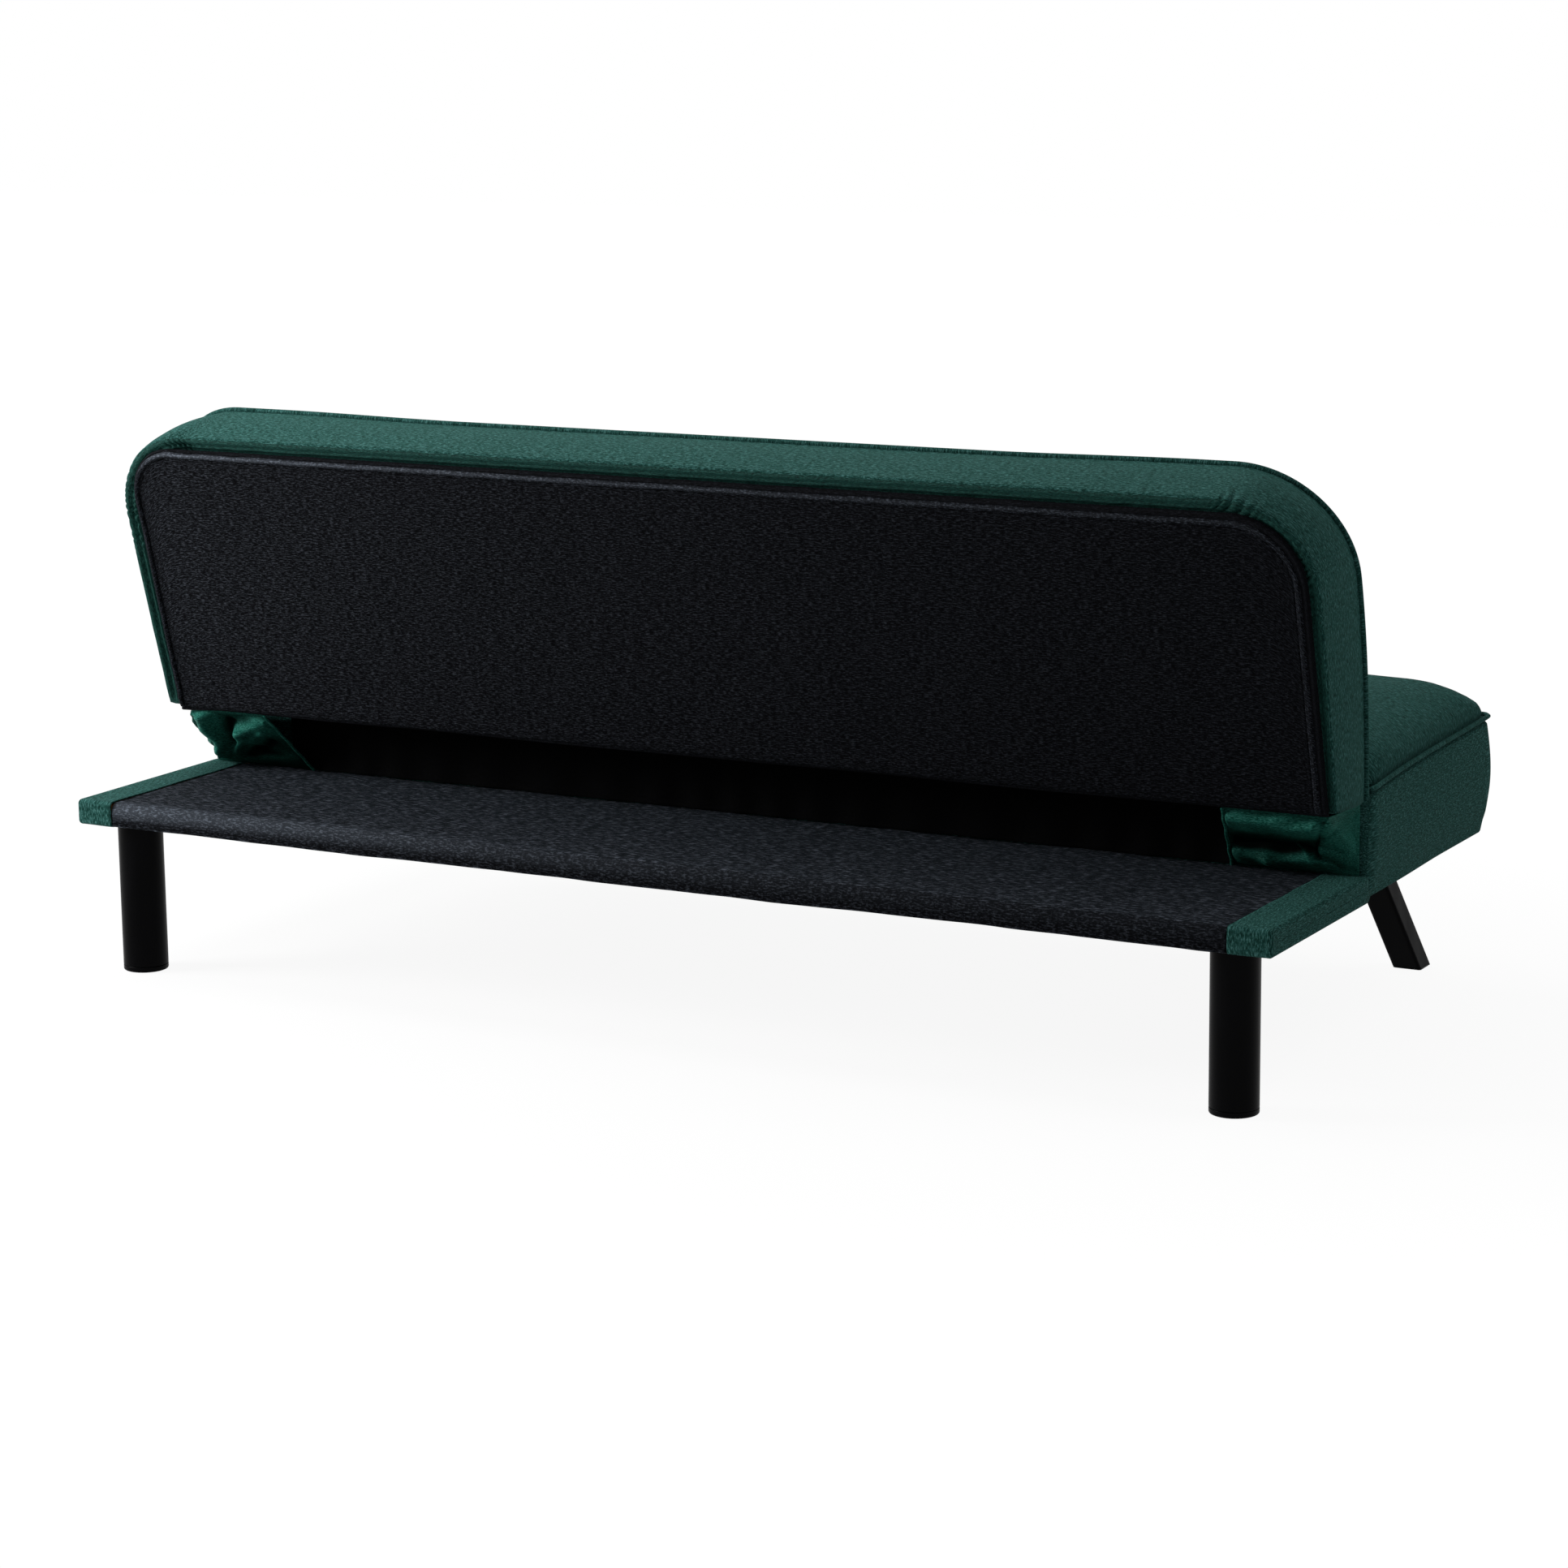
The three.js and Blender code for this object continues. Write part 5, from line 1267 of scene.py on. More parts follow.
        # Rows past the fold take the border finish, the darker copy of the green that paints shade over the border.
        made.data.polygons.foreach_set("material_index", (rows >= 33).astype(np.int32))
        thicken(made, 0.0015, -1.0)
        return made

    def welt(self) -> bpy.types.Object:
        """The welt round the front edge's sides and top: a round cord on the edge, a little out and forward of it."""
        points, normal = self.outline().arch(300)
        out = points + normal * self.welt_out
        up = self.settled(out[:, 0], out[:, 1])
        path = LAYOUT.reclined(out[:, 0], self.edge(points[:, 1]) + self.welt_forward, up)
        return bead("back_welt_cord", path, LAYOUT.reclined(0, 1, 0) - LAYOUT.reclined(0, 0, 0), self.welt_radius, self.welt_radius)

    def panel(self) -> bpy.types.Object:
        """The black cloth over the rear, with a piped ridge near its edge.

        Its depth is a function of the distance from the black's outer edge: tucked in at the edge, flat, then a
        half-round ridge between two sharp grooves, then a flat with slow ripples. The grid's lines lie close
        together where that distance matters and far apart elsewhere.
        """
        near, gap = 0.0009, 0.0016
        half, top = self.black_half - gap, self.black_high - gap
        fine = np.arange(0, max(self.black_corner) + 0.026, near)
        middle = np.linspace(-half + fine[-1], half - fine[-1], 120)[1:-1]
        a = np.concatenate([-half + fine, middle, half - fine[::-1]])[None, :]
        left, right = self.black_corner
        corner = np.where(a < 0, left, right) - gap
        tall = top - self.low_rear
        v = np.concatenate([np.linspace(0, 0.05, 14)[:-1], np.linspace(0.05, 0.93, 44)[:-1], np.linspace(0.93, 1, 32)])[:, None]
        past = np.clip(np.abs(a) - half + corner, 0, corner)
        b = self.low_rear + (tall - corner + np.sqrt(corner**2 - past**2)) * v
        a = a + 0 * v
        q = np.stack([np.abs(a) - half + corner, b - top + corner], -1)
        arc = corner - np.linalg.norm(np.maximum(q, 0), axis=-1)
        rim = gap + np.where((q > 0).all(-1), arc, np.minimum(half - np.abs(a), top - b))
        plan = np.stack([a, b], -1)
        lie = (a / half + 1) / 2
        centre = self.ridge_inset[0] + (self.ridge_inset[1] - self.ridge_inset[0]) * lie
        width = self.ridge_half[0] + (self.ridge_half[1] - self.ridge_half[0]) * lie
        wobble = 0.0005 * ripple(plan, 0.13, 61) + 0.0003 * ripple(plan, 0.045, 62)
        off = (rim - centre - wobble) / width
        ridge = self.ridge_height * np.sqrt(np.maximum(0, 1 - off**2)) * (0.45 + 0.55 * lie + 0.08 * ripple(plan, 0.06, 63))
        groove = 0.0012 * bump(np.abs(off) - 1.12, 0.22)
        inner = 0.0005 * bump(rim - centre - 1.8 * width, 0.0016)
        hem = 0.0012 * bump(b - self.low_rear - 0.014, 0.004)
        body = 0.0012 * ripple(plan, 0.4, 64) + 0.0006 * ripple(plan * [1, 0.4], 0.1, 65)
        low = b - self.low_rear
        tucked = ease(rim / 0.005) * ease(low / 0.004)
        depth = self.rear_plane + 0.0012 + 0.0028 * tucked + (ridge - groove) * ease(low / 0.01) + inner + hem
        depth = depth + body * ease(np.minimum(rim - 0.016, low) / 0.05)
        made = surface("panel_cloth", LAYOUT.reclined(a, -depth, b))
        # The ridge's faces take the piped finish, the lighter copy of the black that paints the ridge's highlight.
        towards = off[:-1, :-1].ravel()
        finish = np.where(towards < -1.0, 2, np.where(towards < 1.0, 1, 0))
        made.data.polygons.foreach_set("material_index", finish.astype(np.int32))
        # The marked share is painted light: a painted highlight on the ridge's top run, stronger towards positive x,
        # and field flecks lighter towards positive x; besides, two faint lighter lines run down the sides, stronger
        # towards negative x.
        over = np.where((q > 0).all(-1), q[..., 1] / np.maximum(corner - arc, 1e-6), (top - b < half - np.abs(a)).astype(float))
        lit = bump(off + 0.3, 0.5) * over**4 * (0.25 + 0.75 * lie**2)
        lines = (bump(rim - 0.0048, 0.0011) + bump(rim - 0.0132, 0.0011)) * 0.1 * (1 - lie) * (1 - over**2)
        flecks = 0.14 * lie**2 * ease((off - 1) / 0.6)
        mark_painted_light_and_shade(made, lit + lines + flecks)
        thicken(made, 0.0015, -1.0)
        return made

    def roll(self) -> bpy.types.Object:
        """The rolled hem that the panel's sides and top are sewn against."""
        points, normal = self.black_outline(self.roll_radius).arch(420)
        wave = 0.0004 * ripple(points, 0.05, 71, 12)
        points = points + normal * wave[:, None]
        path = LAYOUT.reclined(points[:, 0], -self.rear_plane - 0.0012 - 0.3 * wave, points[:, 1])
        return bead("panel_roll", path, LAYOUT.reclined(0, -1, 0) - LAYOUT.reclined(0, 0, 0), self.roll_radius, self.roll_radius)

    def lip(self) -> bpy.types.Object:
        """The panel's folded lower edge: a thin roll from side to side that sags a little and stands out at one end."""
        across = np.linspace(-self.black_half + 0.004, self.black_half - 0.002, 300)
        over = ease((across - 0.80) / 0.08)
        up = self.low_rear - 0.0008 - 0.0012 * ripple(across[:, None], 0.5, 73) - 0.004 * over
        return bead(
            "panel_lip", LAYOUT.reclined(across, -self.rear_plane - 0.0008 + 0.002 * over, up),
            LAYOUT.reclined(0, -1, 0) - LAYOUT.reclined(0, 0, 0), self.roll_radius, self.roll_radius
        )

    def build(self, finishes: Finishes) -> None:
        """Builds, dresses and places the back's pieces.

        Args:
            finishes: the sofa's finishes.
        """
        outwards = Vector((0, -np.cos(LAYOUT.recline), np.sin(LAYOUT.recline)))
        pivot = LAYOUT.reclined(0, 0, 0) @ np.array(outwards)
        pad = self.pad()
        Puff(cap=0.012).swell(pad, (pivot + 0.022, pivot + 0.062), outwards)
        self.soften(pad)
        weave_from_place(pad, Vector((1, 0, 0)), Vector((0, np.sin(LAYOUT.recline), np.cos(LAYOUT.recline))))
        subdivide(pad)
        mount(pad, finishes.green, Body.BACK, ("back_cushion",))
        band = mount(self.band(), (finishes.green, finishes.border), Body.BACK)
        mount(self.welt(), finishes.green, Body.BACK, ("back_welt",))
        panel = mount(
            self.panel(), (finishes.black, finishes.piped, finishes.rolled), Body.BACK, ("back_panel",)
        )
        mount(self.roll(), finishes.rolled, Body.BACK, ("back_panel_piping",))
        mount(self.lip(), finishes.rolled, Body.BACK, ("back_panel_piping",))


@dataclass(frozen=True)
class Ledge:
    """The upholstered rear ledge: a black cover between two green end wraps."""

    inner: float = 0.8425
    half: float = 0.9
    depth: float = 0.323
    radius_top: float = 0.014
    radius_low: float = 0.0045
    hang: float = 0.0010
    wrap_radius: float = 0.0055
    underlap: float = 0.09

    def profile(self, inset: Array, counts: tuple[int, int, int], under: float, radii: tuple[float, float]) -> Array:
        """The section, from the seat's side along the top, round the rear edge and back along the underside.

        The section is drawn in by the inset, and a corner's radius shrinks by it down to nearly nothing.

        Args:
            inset: one number for each row of the result.
            counts: points along the top, in each corner and down the rear.
            under: how far the underside reaches back from the rear.
            radii: of the upper and the lower rear corner.

        Returns:
            Rows by points by two: y and z.
        """
        d = np.asarray(inset, float)[:, None]
        top, low, rear = LAYOUT.ledge_top - d, LAYOUT.ledge_low + d, LAYOUT.rear_edge - d
        r1, r2 = (np.maximum(radius - d, 0.0006) for radius in radii)
        start = LAYOUT.from_rear(self.depth)
        run, corner, drop = counts
        s, t = np.linspace(0, 1, run)[None, :-1], np.linspace(0, np.pi / 2, corner)[None]
        y = [start + (rear - r1 - start) * s, rear - r1 + r1 * np.sin(t)]
        z = [top + 0 * s, top - r1 + r1 * np.cos(t)]
        f = np.linspace(0, 1, drop + 2)[None, 1:-1]
        y += [rear + 0 * f, rear - r2 + r2 * np.cos(t), rear - r2 - (under - r2) * np.linspace(0, 1, 14)[None, 1:]]
        z += [top - r1 + (low + r2 - top + r1) * f, low + r2 - r2 * np.sin(t), low + 0 * np.linspace(0, 1, 13)[None]]
        return np.stack([np.concatenate(y, 1), np.concatenate(z, 1)], -1)

    def cover(self) -> bpy.types.Object:
        """The black cover: the section carried across, with slow unevenness square to its surface."""
        across = 400
        section = self.profile(np.zeros(1), (56, 12, 5), self.underlap, (self.radius_top, self.radius_low))[0]
        section[:, 1] -= self.hang * ease((LAYOUT.ledge_top - section[:, 1]) / (LAYOUT.ledge_top - LAYOUT.ledge_low))
        x = np.linspace(-self.inner + 0.0003, self.inner - 0.0003, across)
        grid = np.concatenate(
            [np.broadcast_to(x[None, :, None], (len(section), across, 1)), np.broadcast_to(section[:, None], (len(section), across, 2))], -1
        )
        slope = unit(np.gradient(section, axis=0))
        out = np.stack([0 * slope[:, 0], -slope[:, 1], slope[:, 0]], -1)
        free = ease((self.inner - np.abs(x)) / 0.05)[None, :, None]
        height = 0.0011 * ripple(grid, 0.35, 81) + 0.0005 * ripple(grid * [0.5, 1, 1], 0.06, 82, 10)
        grid = grid + out[:, None] * (height[..., None] * free - 0.0004)
        made = surface("ledge_black_cover", grid)
        # Painted highlight along the rounded rear edge: faint at negative x and strongest towards positive x, where the
        # key light falls.
        bend = ease((grid[..., 1] - LAYOUT.rear_edge + 0.028) / 0.022) * ease((grid[..., 2] - LAYOUT.ledge_top + 0.028) / 0.018)
        lie = (grid[..., 0] / self.inner + 1) / 2
        mark_painted_light_and_shade(made, bend * (0.08 + 0.72 * lie**2.5))
        rear = (grid[:-1, :-1, 1] > LAYOUT.rear_edge - 0.6 * self.radius_top) & (grid[:-1, :-1, 2] > LAYOUT.ledge_low + 0.002)
        made.data.polygons.foreach_set("material_index", rear.ravel().astype(np.int32))
        thicken(made, 0.0018, -1.0)
        return made

    def end_wrap(self, side: Side) -> bpy.types.Object:
        """A green end wrap: the section carried to the end, rounded over, and drawn in to close the end.

        Args:
            side: which end.

        Returns:
            The wrap.
        """
        radius, half_thick = 0.004, (LAYOUT.ledge_top - LAYOUT.ledge_low) / 2
        run = np.linspace(self.inner, self.half - radius, 14)
        turn = np.linspace(0, np.pi / 2, 7)[1:]
        close = np.linspace(radius, half_thick - 0.0002, 10)[1:]
        x = np.concatenate([run, self.half - radius + radius * np.sin(turn), np.full(9, self.half)])
        inset = np.concatenate([np.zeros(14), radius * (1 - np.cos(turn)), close])
        section = self.profile(inset, (48, 9, 6), self.depth - 0.001, (self.wrap_radius, self.wrap_radius))
        grid = np.concatenate([np.broadcast_to(x[:, None, None], section.shape[:2] + (1,)), section], -1)
        seam = bump(self.half - 0.0095 - grid[..., 0], 0.0014) * (grid[..., 1] > LAYOUT.rear_edge - 0.012)
        grid[..., 1] -= 0.0011 * seam
        soft = 0.0006 * ripple(grid, 0.09, 91 + side.value)
        grid[..., 2] += soft * ease((self.half - grid[..., 0]) / 0.02) * np.sign(grid[..., 2] - LAYOUT.ledge_low - half_thick)
        grid[..., 0] *= side.value
        made = surface(f"ledge_wrap_{side.word}", grid, flip=side is Side.LEFT)
        thicken(made, 0.0012, -1.0)
        return made

    def build(self, finishes: Finishes) -> None:
        """Builds, dresses and places the ledge's pieces.

        Args:
            finishes: the sofa's finishes.
        """
        cover = mount(self.cover(), (finishes.ledge, finishes.edge), Body.BASE, ("ledge_cover",))
        for side in Side:
            wrap = mount(self.end_wrap(side), finishes.green, Body.BASE, (f"ledge_end_cover_{side.word}",))
            x = side.value * (self.half - 0.0095)
            z = np.linspace(LAYOUT.ledge_low + 0.004, LAYOUT.ledge_top - 0.010, 20)
            path = np.stack([np.full(20, x), np.full(20, LAYOUT.rear_edge - 0.0007), z], -1)
            seam = stitches(f"ledge_corner_stitches_{side.word}", path, np.array([0.0, 1.0, 0.0]), 0.0042, 0.0032, 0.0005)
            mount(seam, finishes.thread, Body.BASE)


@dataclass(frozen=True)
class Fold:
    """A fold, or a crease where its height is negative: a straight run over a gusset's face with a bell-shaped section.

    Places are shares: the way from the inner hem to the corner and on round the end, and the way down.
    """

    start: tuple[float, float]
    end: tuple[float, float]
    width: float
    height: float

    def lift(self, plan: Array) -> Array:
        """The height that the fold adds at each place, from its distance to the run."""
        run = np.subtract(self.end, self.start)
        share = np.clip((plan - self.start) @ run / (run @ run), 0, 1)
        return self.height * bump(np.linalg.norm(plan - self.start - share[..., None] * run, axis=-1), self.width)


FOLDS = {
    Side.LEFT: (
        Fold((0.05, 0.20), (0.94, 0.25), 0.13, 0.017),
        Fold((0.10, 0.54), (0.90, 0.57), 0.09, -0.009),
        Fold((0.12, 0.80), (0.45, 0.85), 0.13, 0.016),
        Fold((0.50, 0.86), (0.96, 0.80), 0.12, 0.014),
        Fold((0.74, 0.55), (0.93, 0.72), 0.035, 0.006),
        Fold((0.98, 0.12), (1.00, 0.46), 0.04, -0.010),
        Fold((1.00, 0.46), (1.02, 0.72), 0.04, -0.013),
        Fold((1.02, 0.72), (1.22, 0.88), 0.045, -0.011),
        Fold((1.22, 0.88), (1.46, 0.94), 0.04, -0.009),
        Fold((1.06, 0.86), (1.30, 0.97), 0.03, 0.004),
        Fold((1.01, 0.42), (1.18, 0.30), 0.03, -0.004),
        Fold((1.02, 0.52), (1.24, 0.64), 0.03, -0.004),
        Fold((1.12, 0.20), (1.34, 0.62), 0.16, 0.006),
    ),
    Side.RIGHT: (
        Fold((0.84, 0.84), (0.82, 0.16), 0.11, 0.025),
        Fold((0.73, 0.78), (0.44, 0.42), 0.13, 0.021),
        Fold((0.40, 0.40), (0.10, 0.18), 0.13, 0.013),
        Fold((0.37, 0.56), (0.18, 0.38), 0.05, 0.009),
        Fold((0.60, 0.92), (0.12, 0.78), 0.12, 0.006),
        Fold((0.79, 0.86), (0.66, 0.52), 0.045, -0.015),
        Fold((0.66, 0.52), (0.52, 0.16), 0.06, -0.009),
        Fold((0.72, 0.86), (0.44, 0.66), 0.08, -0.011),
        Fold((0.44, 0.66), (0.22, 0.50), 0.06, -0.008),
        Fold((0.95, 0.16), (0.97, 0.48), 0.03, -0.007),
        Fold((0.97, 0.48), (0.99, 0.86), 0.03, -0.008),
        Fold((1.10, 0.10), (1.16, 0.66), 0.12, 0.010),
    ),
}


@dataclass(frozen=True)
class RearDrape:
    """The loose cloth that joins the back to the ledge: a gathered gusset at each end and a curtain between."""

    inner_top: float = 0.740
    inner_foot: float = 0.718
    outer: float = 0.889
    corner_left: tuple[float, ...] = (0.884, 0.872, 0.862, 0.858, 0.850, 0.845, 0.850, 0.862)
    corner_right: tuple[float, ...] = (0.866, 0.876, 0.883, 0.884, 0.875, 0.877, 0.884, 0.887)
    head: float = 0.3425
    foot: float = 0.2488
    rear_top: float = 0.2055
    rear_foot: float = 0.1165
    side_front: float = 0.1127
    curtain_top: float = 0.1215
    curtain_foot: float = 0.1135

    def gusset(self, side: Side) -> bpy.types.Object:
        """A gathered gusset: a leaning rear face that turns the end, thrown into folds.

        The folds and creases stand square to the face. They wander a little, die away at the cloth's edges, and
        fine gathers lie over them.

        Args:
            side: which end.

        Returns:
            The gusset.
        """
        rows = 84
        v = np.linspace(0, 1, rows)[:, None]
        rear = self.rear_top + (self.rear_foot - self.rear_top) * v
        inner = self.inner_top + (self.inner_foot - self.inner_top) * v
        drawn = self.corner_left if side is Side.LEFT else self.corner_right
        knots = np.linspace(0, 1, len(drawn))
        corner = np.interp(v[:, 0], knots, drawn)
        corner = np.convolve(np.pad(corner, 6, "edge"), np.hanning(15)[1:-1] / np.hanning(15).sum(), "valid")[:, None]
        z = self.head + (self.foot - self.head) * v
        u1, u2 = np.linspace(0, 1, 120)[None], np.linspace(0, 1, 64)[None, 1:]
        x = np.concatenate([inner + (corner - inner) * u1, corner + (self.outer - corner) * u2**0.8], 1)
        y = np.concatenate([rear + 0 * u1, rear + (self.side_front - rear) * u2], 1)
        z = np.broadcast_to(z, x.shape)
        across = np.concatenate([u1[0], 1 + 0.5 * u2[0]])[None]
        facing = ease((across - 0.93) / 0.16) * (np.pi / 2 - 0.45)
        out = np.stack(np.broadcast_arrays(np.sin(facing), np.cos(facing), 0 * facing), -1)
        near = bump(across - 1, 0.3)
        plan = np.stack(np.broadcast_arrays(across, v), -1)
        wander = np.stack([ripple(plan, 0.5, 111 + side.value, 5), ripple(plan, 0.4, 114 + side.value, 5)], -1)
        depth = sum(fold.lift(plan + 0.022 * wander) for fold in FOLDS[side])
        fine = ripple(plan * [0.5, 1.0], 0.22, 95 + side.value, 9) + 0.8 * near * ripple(plan, 0.16, 99 + side.value, 9)
        width = np.minimum(1, (rear - self.side_front) / 0.03)
        depth = (depth + 0.0011 * fine - 0.003) * np.where(across > 1, width, 1)
        depth = depth * ease(np.minimum(v, 1 - v) / 0.07) * (0.2 + 0.8 * ease(across / 0.06)) * (1 - ease((across - 1.42) / 0.08))
        grid = np.stack([x, y, z], -1) + out * depth[..., None]
        grid[..., 2] = np.clip(grid[..., 2], self.foot - 0.0004, self.head + 0.0006)
        grid[..., 0] *= side.value
        made = surface(f"gusset_cloth_{side.word}", grid, flip=side is Side.LEFT)
        # Painted shade: the fold hollows are marked dark, less round the end, and so is the lower part towards the
        # inner hem.
        hollow = ease((0.006 - depth) / 0.014) * (1 - 0.7 * ease((across - 0.95) / 0.1))
        foot = 0.6 * ease((v - 0.45) / 0.4) * (1 - ease((across - 0.55) / 0.3))
        mark_painted_light_and_shade(made, hollow + foot)
        thicken(made, 0.0014, -1.0)
        return made

    def hem(self, side: Side) -> bpy.types.Object:
        """The rolled inner edge of a gusset, a cord down the slope.

        Args:
            side: which end.

        Returns:
            The hem.
        """
        v = np.linspace(0.012, 0.988, 40)
        x = self.inner_top + (self.inner_foot - self.inner_top) * v - 0.001 + 0.0006 * np.sin(23 * v)
        y = self.rear_top + (self.rear_foot - self.rear_top) * v + 0.0008
        path = np.stack([side.value * x, y, self.head + (self.foot - self.head) * v - 0.0008], -1)
        return bead(f"gusset_hem_{side.word}", path, unit(np.array([0.0, 1.0, -1.0])), 0.0022, 0.0018)

    def curtain(self) -> bpy.types.Object:
        """The curtain: it hangs from the back to the ledge in shallow folds that grow with the drop."""
        u, v = np.linspace(-1, 1, 420)[None, :], np.linspace(0, 1, 26)[:, None]
        x = (self.inner_top + 0.012) * u + 0 * v
        fold = 0.0022 * np.sin(2 * np.pi * (10 * u + 0.4 * np.sin(7 * u))) * np.sqrt(v) * np.minimum(1, (1 - v) / 0.1 + 0.3)
        y = self.curtain_top + (self.curtain_foot - self.curtain_top) * v + fold
        z = self.head + (self.foot - 0.0004 - self.head) * v + 0 * u
        made = surface("curtain_cloth", np.stack([x, y, z], -1), flip=False)
        thicken(made, 0.0012)
        return made

    def bend(self, piece: bpy.types.Object) -> None:
        """Bakes a piece's place into its points; it rides on neither body."""
        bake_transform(piece)

    def build(self, finishes: Finishes) -> None:
        """Builds, dresses and places the drape's pieces.

        Args:
            finishes: the sofa's finishes.
        """
        for side in Side:
            cloth = mount(self.gusset(side), finishes.gathered, None, (f"gusset_{side.word}",))
            self.bend(cloth)
            hem = mount(self.hem(side), finishes.gathered, None)
            self.bend(hem)
        curtain = mount(self.curtain(), finishes.lining, None, ("rear_curtain",))
        self.bend(curtain)


@dataclass(frozen=True)
class Legs:
    """The round rear legs with their glides, and the splayed front legs of square tube with their caps."""

    radius: float = 0.0316
    rear_x: float = 0.8325
    rear_y: float = 0.3815
    top: float = 0.2136
    joint: float = 0.0083
    foot: float = 0.0415
    foot_x: float = 0.7707
    foot_y: float = -0.41275
    lean: float = 0.59
    splay: float = 0.168
    front_top: float = 0.2103
    cap: float = 0.0033
    facets: int = 96

    def turned(self, name: str, side: Side, profile: Array) -> bpy.types.Object:
        """A turned form: a profile of radii and heights carried round the leg's axis.

        Args:
            name: of the piece.
            side: which end.
            profile: rows of radius and height, from pole to pole.

        Returns:
            The form.
        """
        turn = np.linspace(0, 2 * np.pi, self.facets, endpoint=False)
        x = side.value * self.rear_x + profile[:, :1] * np.cos(turn)
        y = self.rear_y + profile[:, :1] * np.sin(turn)
        z = np.broadcast_to(profile[:, 1:], x.shape)
        return surface(f"{name}_{side.word}", np.stack([x, y, z], -1), wrap=True, solid=True)

    def rounded(self, low: float, high: float, round_low: float, round_high: float) -> Array:
        """A plain cylinder's profile with rounded rims.

        Args:
            low: its lower end.
            high: its upper end.
            round_low: the lower rim's radius.
            round_high: the upper rim's radius.

        Returns:
            Rows of radius and height.
        """
        turn = np.linspace(0, np.pi / 2, 7)
        hug = 0.0007
        lower = np.stack([self.radius - round_low + round_low * np.sin(turn), low + round_low - round_low * np.cos(turn)], -1)
        upper = np.stack([self.radius - round_high + round_high * np.cos(turn), high - round_high + round_high * np.sin(turn)], -1)
        middle = np.stack([np.full(6, self.radius), np.linspace(low + round_low + hug, high - round_high - hug, 6)], -1)
        inner = np.array([[0.0, low], [self.radius - round_low - hug, low]])
        outer = np.array([[self.radius - round_high - hug, high], [0.0, high]])
        return np.concatenate([inner, lower, middle, upper, outer])

    def square(self, name: str, side: Side, low: float, high: float, corner: float, round_low: float) -> bpy.types.Object:
        """A leaning square bar with rounded edges: a rounded square carried up the lean, closed at both ends.

        Args:
            name: of the piece.
            side: which end.
            low: the lower end's height.
            high: the upper end's height.
            corner: radius of the long edges.
            round_low: radius of the lower rim.

        Returns:
            The bar.
        """
        base = Outline(self.foot / 2, -self.foot / 2, self.foot / 2, corner, corner)
        ring, normal = base.ring(64)
        turn = np.linspace(0, np.pi / 2, 5)
        inset = np.concatenate([[self.foot / 2], round_low * (1 - np.sin(turn)), np.zeros(7), [0.0006, self.foot / 2]])
        level = np.concatenate([[low], low + round_low * (1 - np.cos(turn)), np.linspace(low + round_low + 0.0008, high - 0.0006, 7), [high, high]])
        scale = 1 - inset / (self.foot / 2)
        x = self.foot_x + ring[:, 0] * scale[:, None] - self.splay * level[:, None]
        y = self.foot_y + ring[:, 1] * scale[:, None] + self.lean * level[:, None]
        grid = np.stack([side.value * x, y, np.broadcast_to(level[:, None], x.shape)], -1)
        LOG.debug("%s has %d normals", name, len(normal))
        return surface(f"{name}_{side.word}", grid, wrap=True, solid=True)

    def build(self, finishes: Finishes) -> None:
        """Builds, dresses and places the legs.

        Args:
            finishes: the sofa's finishes.
        """
        for side in Side:
            leg = self.turned("rear_leg_turned", side, self.rounded(self.joint, self.top, 0.0008, 0.002))
            mount(leg, finishes.plastic, Body.BASE, (f"rear_leg_{side.word}",))
            glide = self.turned("rear_leg_foot", side, self.rounded(0.0, self.joint - 0.0004, 0.0025, 0.001))
            mount(glide, finishes.plastic, Body.BASE, (f"rear_leg_glide_{side.word}",))
            front = self.square("front_leg_tube", side, self.cap, self.front_top, 0.0035, 0.0004)
            mount(front, finishes.paint, Body.BASE, (f"front_leg_{side.word}",))
            cap = self.square("front_leg_foot", side, 0.0, self.cap - 0.0003, 0.0035, 0.001)
            mount(cap, finishes.plastic, Body.BASE, (f"front_leg_cap_{side.word}",))


@dataclass(frozen=True)
class Hardware:
    """The CAD nodes that show as they are, each dressed by its material slot."""

    def build(self, finishes: Finishes) -> None:
        """Puts a procedural finish on every CAD node.

        Args:
            finishes: the sofa's finishes.
        """
        by_slot = {
            "frame_wood": finishes.timber,
            "webbing": finishes.webbing,
            "spring_steel": finishes.spring,
            "zinc_steel": finishes.zinc,
            "black_plastic": finishes.plastic,
            "black_paint": finishes.paint,
            "black_fabric": finishes.black,
            "green_fabric": finishes.green,
            "lining": finishes.lining,
        }
        for name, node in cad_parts.items():
            for place in node.material_slots:
                slot = place.material.name.split(".")[0]
                place.material = by_slot[slot]
            LOG.info("%s dressed", name)


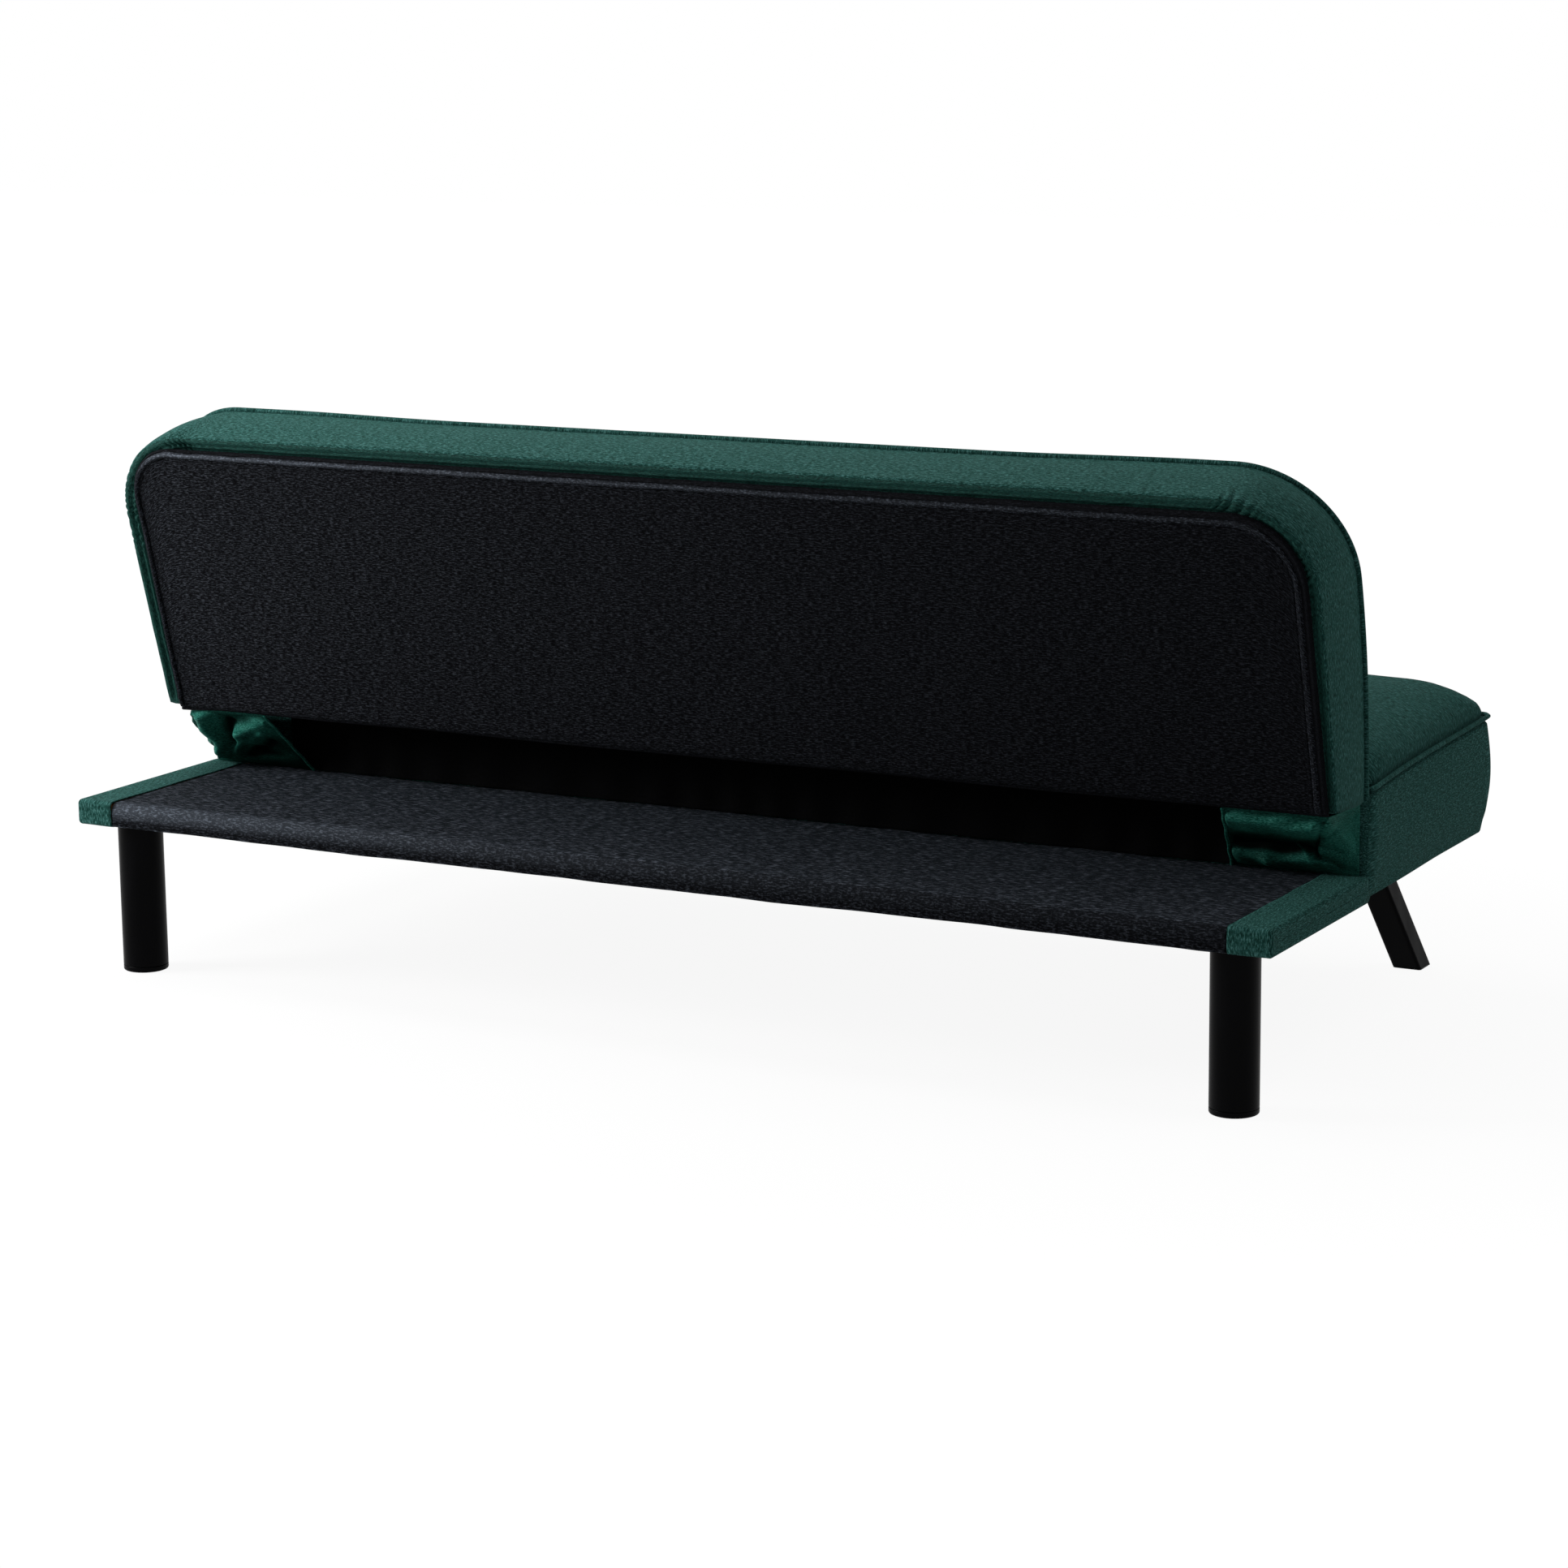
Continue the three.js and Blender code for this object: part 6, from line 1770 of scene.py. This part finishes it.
@dataclass(frozen=True)
class Studio:
    """The plain pale floor, the soft lights, the world, and the camera at the photograph's place."""

    place: tuple[float, float, float] = (-2.7456, 5.0144, 1.4433)
    looks: tuple[float, float, float] = (0.47108, -0.85885, -0.20116)
    roll: float = -0.0117
    lens: float = 96.18
    sensor: float = 36.0
    ambient: float = 0.14

    def camera(self) -> None:
        """Sets the camera: it looks along its direction and is rolled about it."""
        ahead = unit(np.array(self.looks))
        level = unit(np.cross(ahead, [0.0, 0.0, 1.0]))
        above = np.cross(level, ahead)
        right = np.cos(self.roll) * level + np.sin(self.roll) * above
        up = -np.sin(self.roll) * level + np.cos(self.roll) * above
        data = bpy.data.cameras.new("photo_camera")
        data.lens, data.sensor_width, data.sensor_fit = self.lens, self.sensor, "HORIZONTAL"
        data.clip_start, data.clip_end = 0.05, 60.0
        camera = bpy.data.objects.new("photo_camera", data)
        bpy.context.scene.collection.objects.link(camera)
        turn = Matrix((right, up, -ahead)).transposed().to_4x4()
        camera.matrix_world = Matrix.Translation(self.place) @ turn
        bpy.context.scene.camera = camera

    def lamp(self, name: str, place: tuple[float, float, float], aim: tuple[float, float, float], size: tuple[float, float], power: float) -> None:
        """A rectangular soft light.

        Args:
            name: of the light.
            place: where it hangs.
            aim: the point it faces.
            size: its width and height in metres.
            power: in watts.
        """
        data = bpy.data.lights.new(name, "AREA")
        data.shape, data.size, data.size_y, data.energy = "RECTANGLE", size[0], size[1], power
        lamp = bpy.data.objects.new(name, data)
        bpy.context.scene.collection.objects.link(lamp)
        lamp.location = place
        lamp.rotation_euler = (Vector(aim) - Vector(place)).to_track_quat("-Z", "Y").to_euler()

    def world(self) -> None:
        """A world that is white to the camera and in reflections, and a plain dim grey as light."""
        world = bpy.data.worlds.new("studio")
        bpy.context.scene.world = world
        world.use_nodes = True
        tree = world.node_tree
        tree.nodes.clear()
        path = tree.nodes.new("ShaderNodeLightPath")
        seen = tree.nodes.new("ShaderNodeMath")
        seen.operation = "MAXIMUM"
        tree.links.new(path.outputs["Is Camera Ray"], seen.inputs[0])
        tree.links.new(path.outputs["Is Transmission Ray"], seen.inputs[1])
        grey, white = tree.nodes.new("ShaderNodeBackground"), tree.nodes.new("ShaderNodeBackground")
        grey.inputs[0].default_value, grey.inputs[1].default_value = (0.95, 0.98, 1.0, 1.0), self.ambient
        white.inputs[0].default_value, white.inputs[1].default_value = (1.0, 1.0, 1.0, 1.0), 1.0
        mix = tree.nodes.new("ShaderNodeMixShader")
        both = tree.nodes.new("ShaderNodeMath")
        both.operation = "MAXIMUM"
        tree.links.new(seen.outputs[0], both.inputs[0])
        tree.links.new(path.outputs["Is Glossy Ray"], both.inputs[1])
        tree.links.new(both.outputs[0], mix.inputs[0])
        tree.links.new(grey.outputs[0], mix.inputs[1])
        tree.links.new(white.outputs[0], mix.inputs[2])
        output = tree.nodes.new("ShaderNodeOutputWorld")
        tree.links.new(mix.outputs[0], output.inputs[0])

    def floor(self) -> None:
        """A pale floor that keeps a faint shadow and is nearly white to the camera and in reflections."""
        span = 14.0
        points = np.array([[-span, -span, -0.0006], [span, -span, -0.0006], [span, span, -0.0006], [-span, span, -0.0006]])
        floor = make_mesh("studio_floor", points, np.array([[0, 1, 2, 3]]))
        sheet = NodeSheet("studio_floor_paint")
        path = sheet.add("LightPath")
        seen = sheet.math("MAXIMUM", path.outputs["Is Camera Ray"], path.outputs["Is Transmission Ray"])
        seen = sheet.math("MAXIMUM", seen, path.outputs["Is Glossy Ray"])
        matt = sheet.add("BsdfDiffuse", Color=(0.82, 0.82, 0.82, 1.0))
        glow = sheet.add("Emission", Color=(1.0, 1.0, 1.0, 1.0), Strength=1.02)
        away = sheet.add("VectorMath", {"operation": "LENGTH"}, in0=sheet.places(Grain.OBJECT, (1.0, 0.7, 1.0))).outputs["Value"]
        share = sheet.math("MULTIPLY", seen, sheet.spread(away, 0.7, 2.2, 0.9, 1.0))
        mixed = sheet.add("MixShader", in0=share, in1=matt.outputs[0], in2=glow.outputs[0])
        sheet.add("OutputMaterial", Surface=mixed.outputs[0])
        dress(floor, sheet.material)

    def build(self) -> None:
        """Builds the whole studio."""
        bpy.context.scene.view_settings.view_transform = "Standard"
        self.camera()
        self.world()
        self.floor()
        self.lamp("key", (2.7, 1.6, 1.5), (0.2, 0.2, 0.4), (1.2, 1.2), 90.0)
        self.lamp("top", (1.2, 0.0, 2.8), (0.3, 0.0, 0.5), (1.6, 1.4), 42.0)
        self.lamp("fill", (-2.3, -0.5, 2.9), (-0.8, 0.0, 0.4), (1.4, 1.4), 15.0)


def corners(bounds: tuple) -> list[list[float]]:
    """A pair of corners as plain numbers."""
    return [[float(value) for value in corner] for corner in bounds]


def main() -> None:
    """Builds the studio and the sofa in order."""
    logging.basicConfig(level=logging.INFO, format="%(name)s: %(message)s")
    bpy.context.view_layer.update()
    finishes = Finishes.mixed()
    Studio().build()
    Seat().build(finishes)
    Backrest().build(finishes)
    Ledge().build(finishes)
    RearDrape().build(finishes)
    Legs().build(finishes)
    Hardware().build(finishes)


if __name__ == "__main__":
    main()
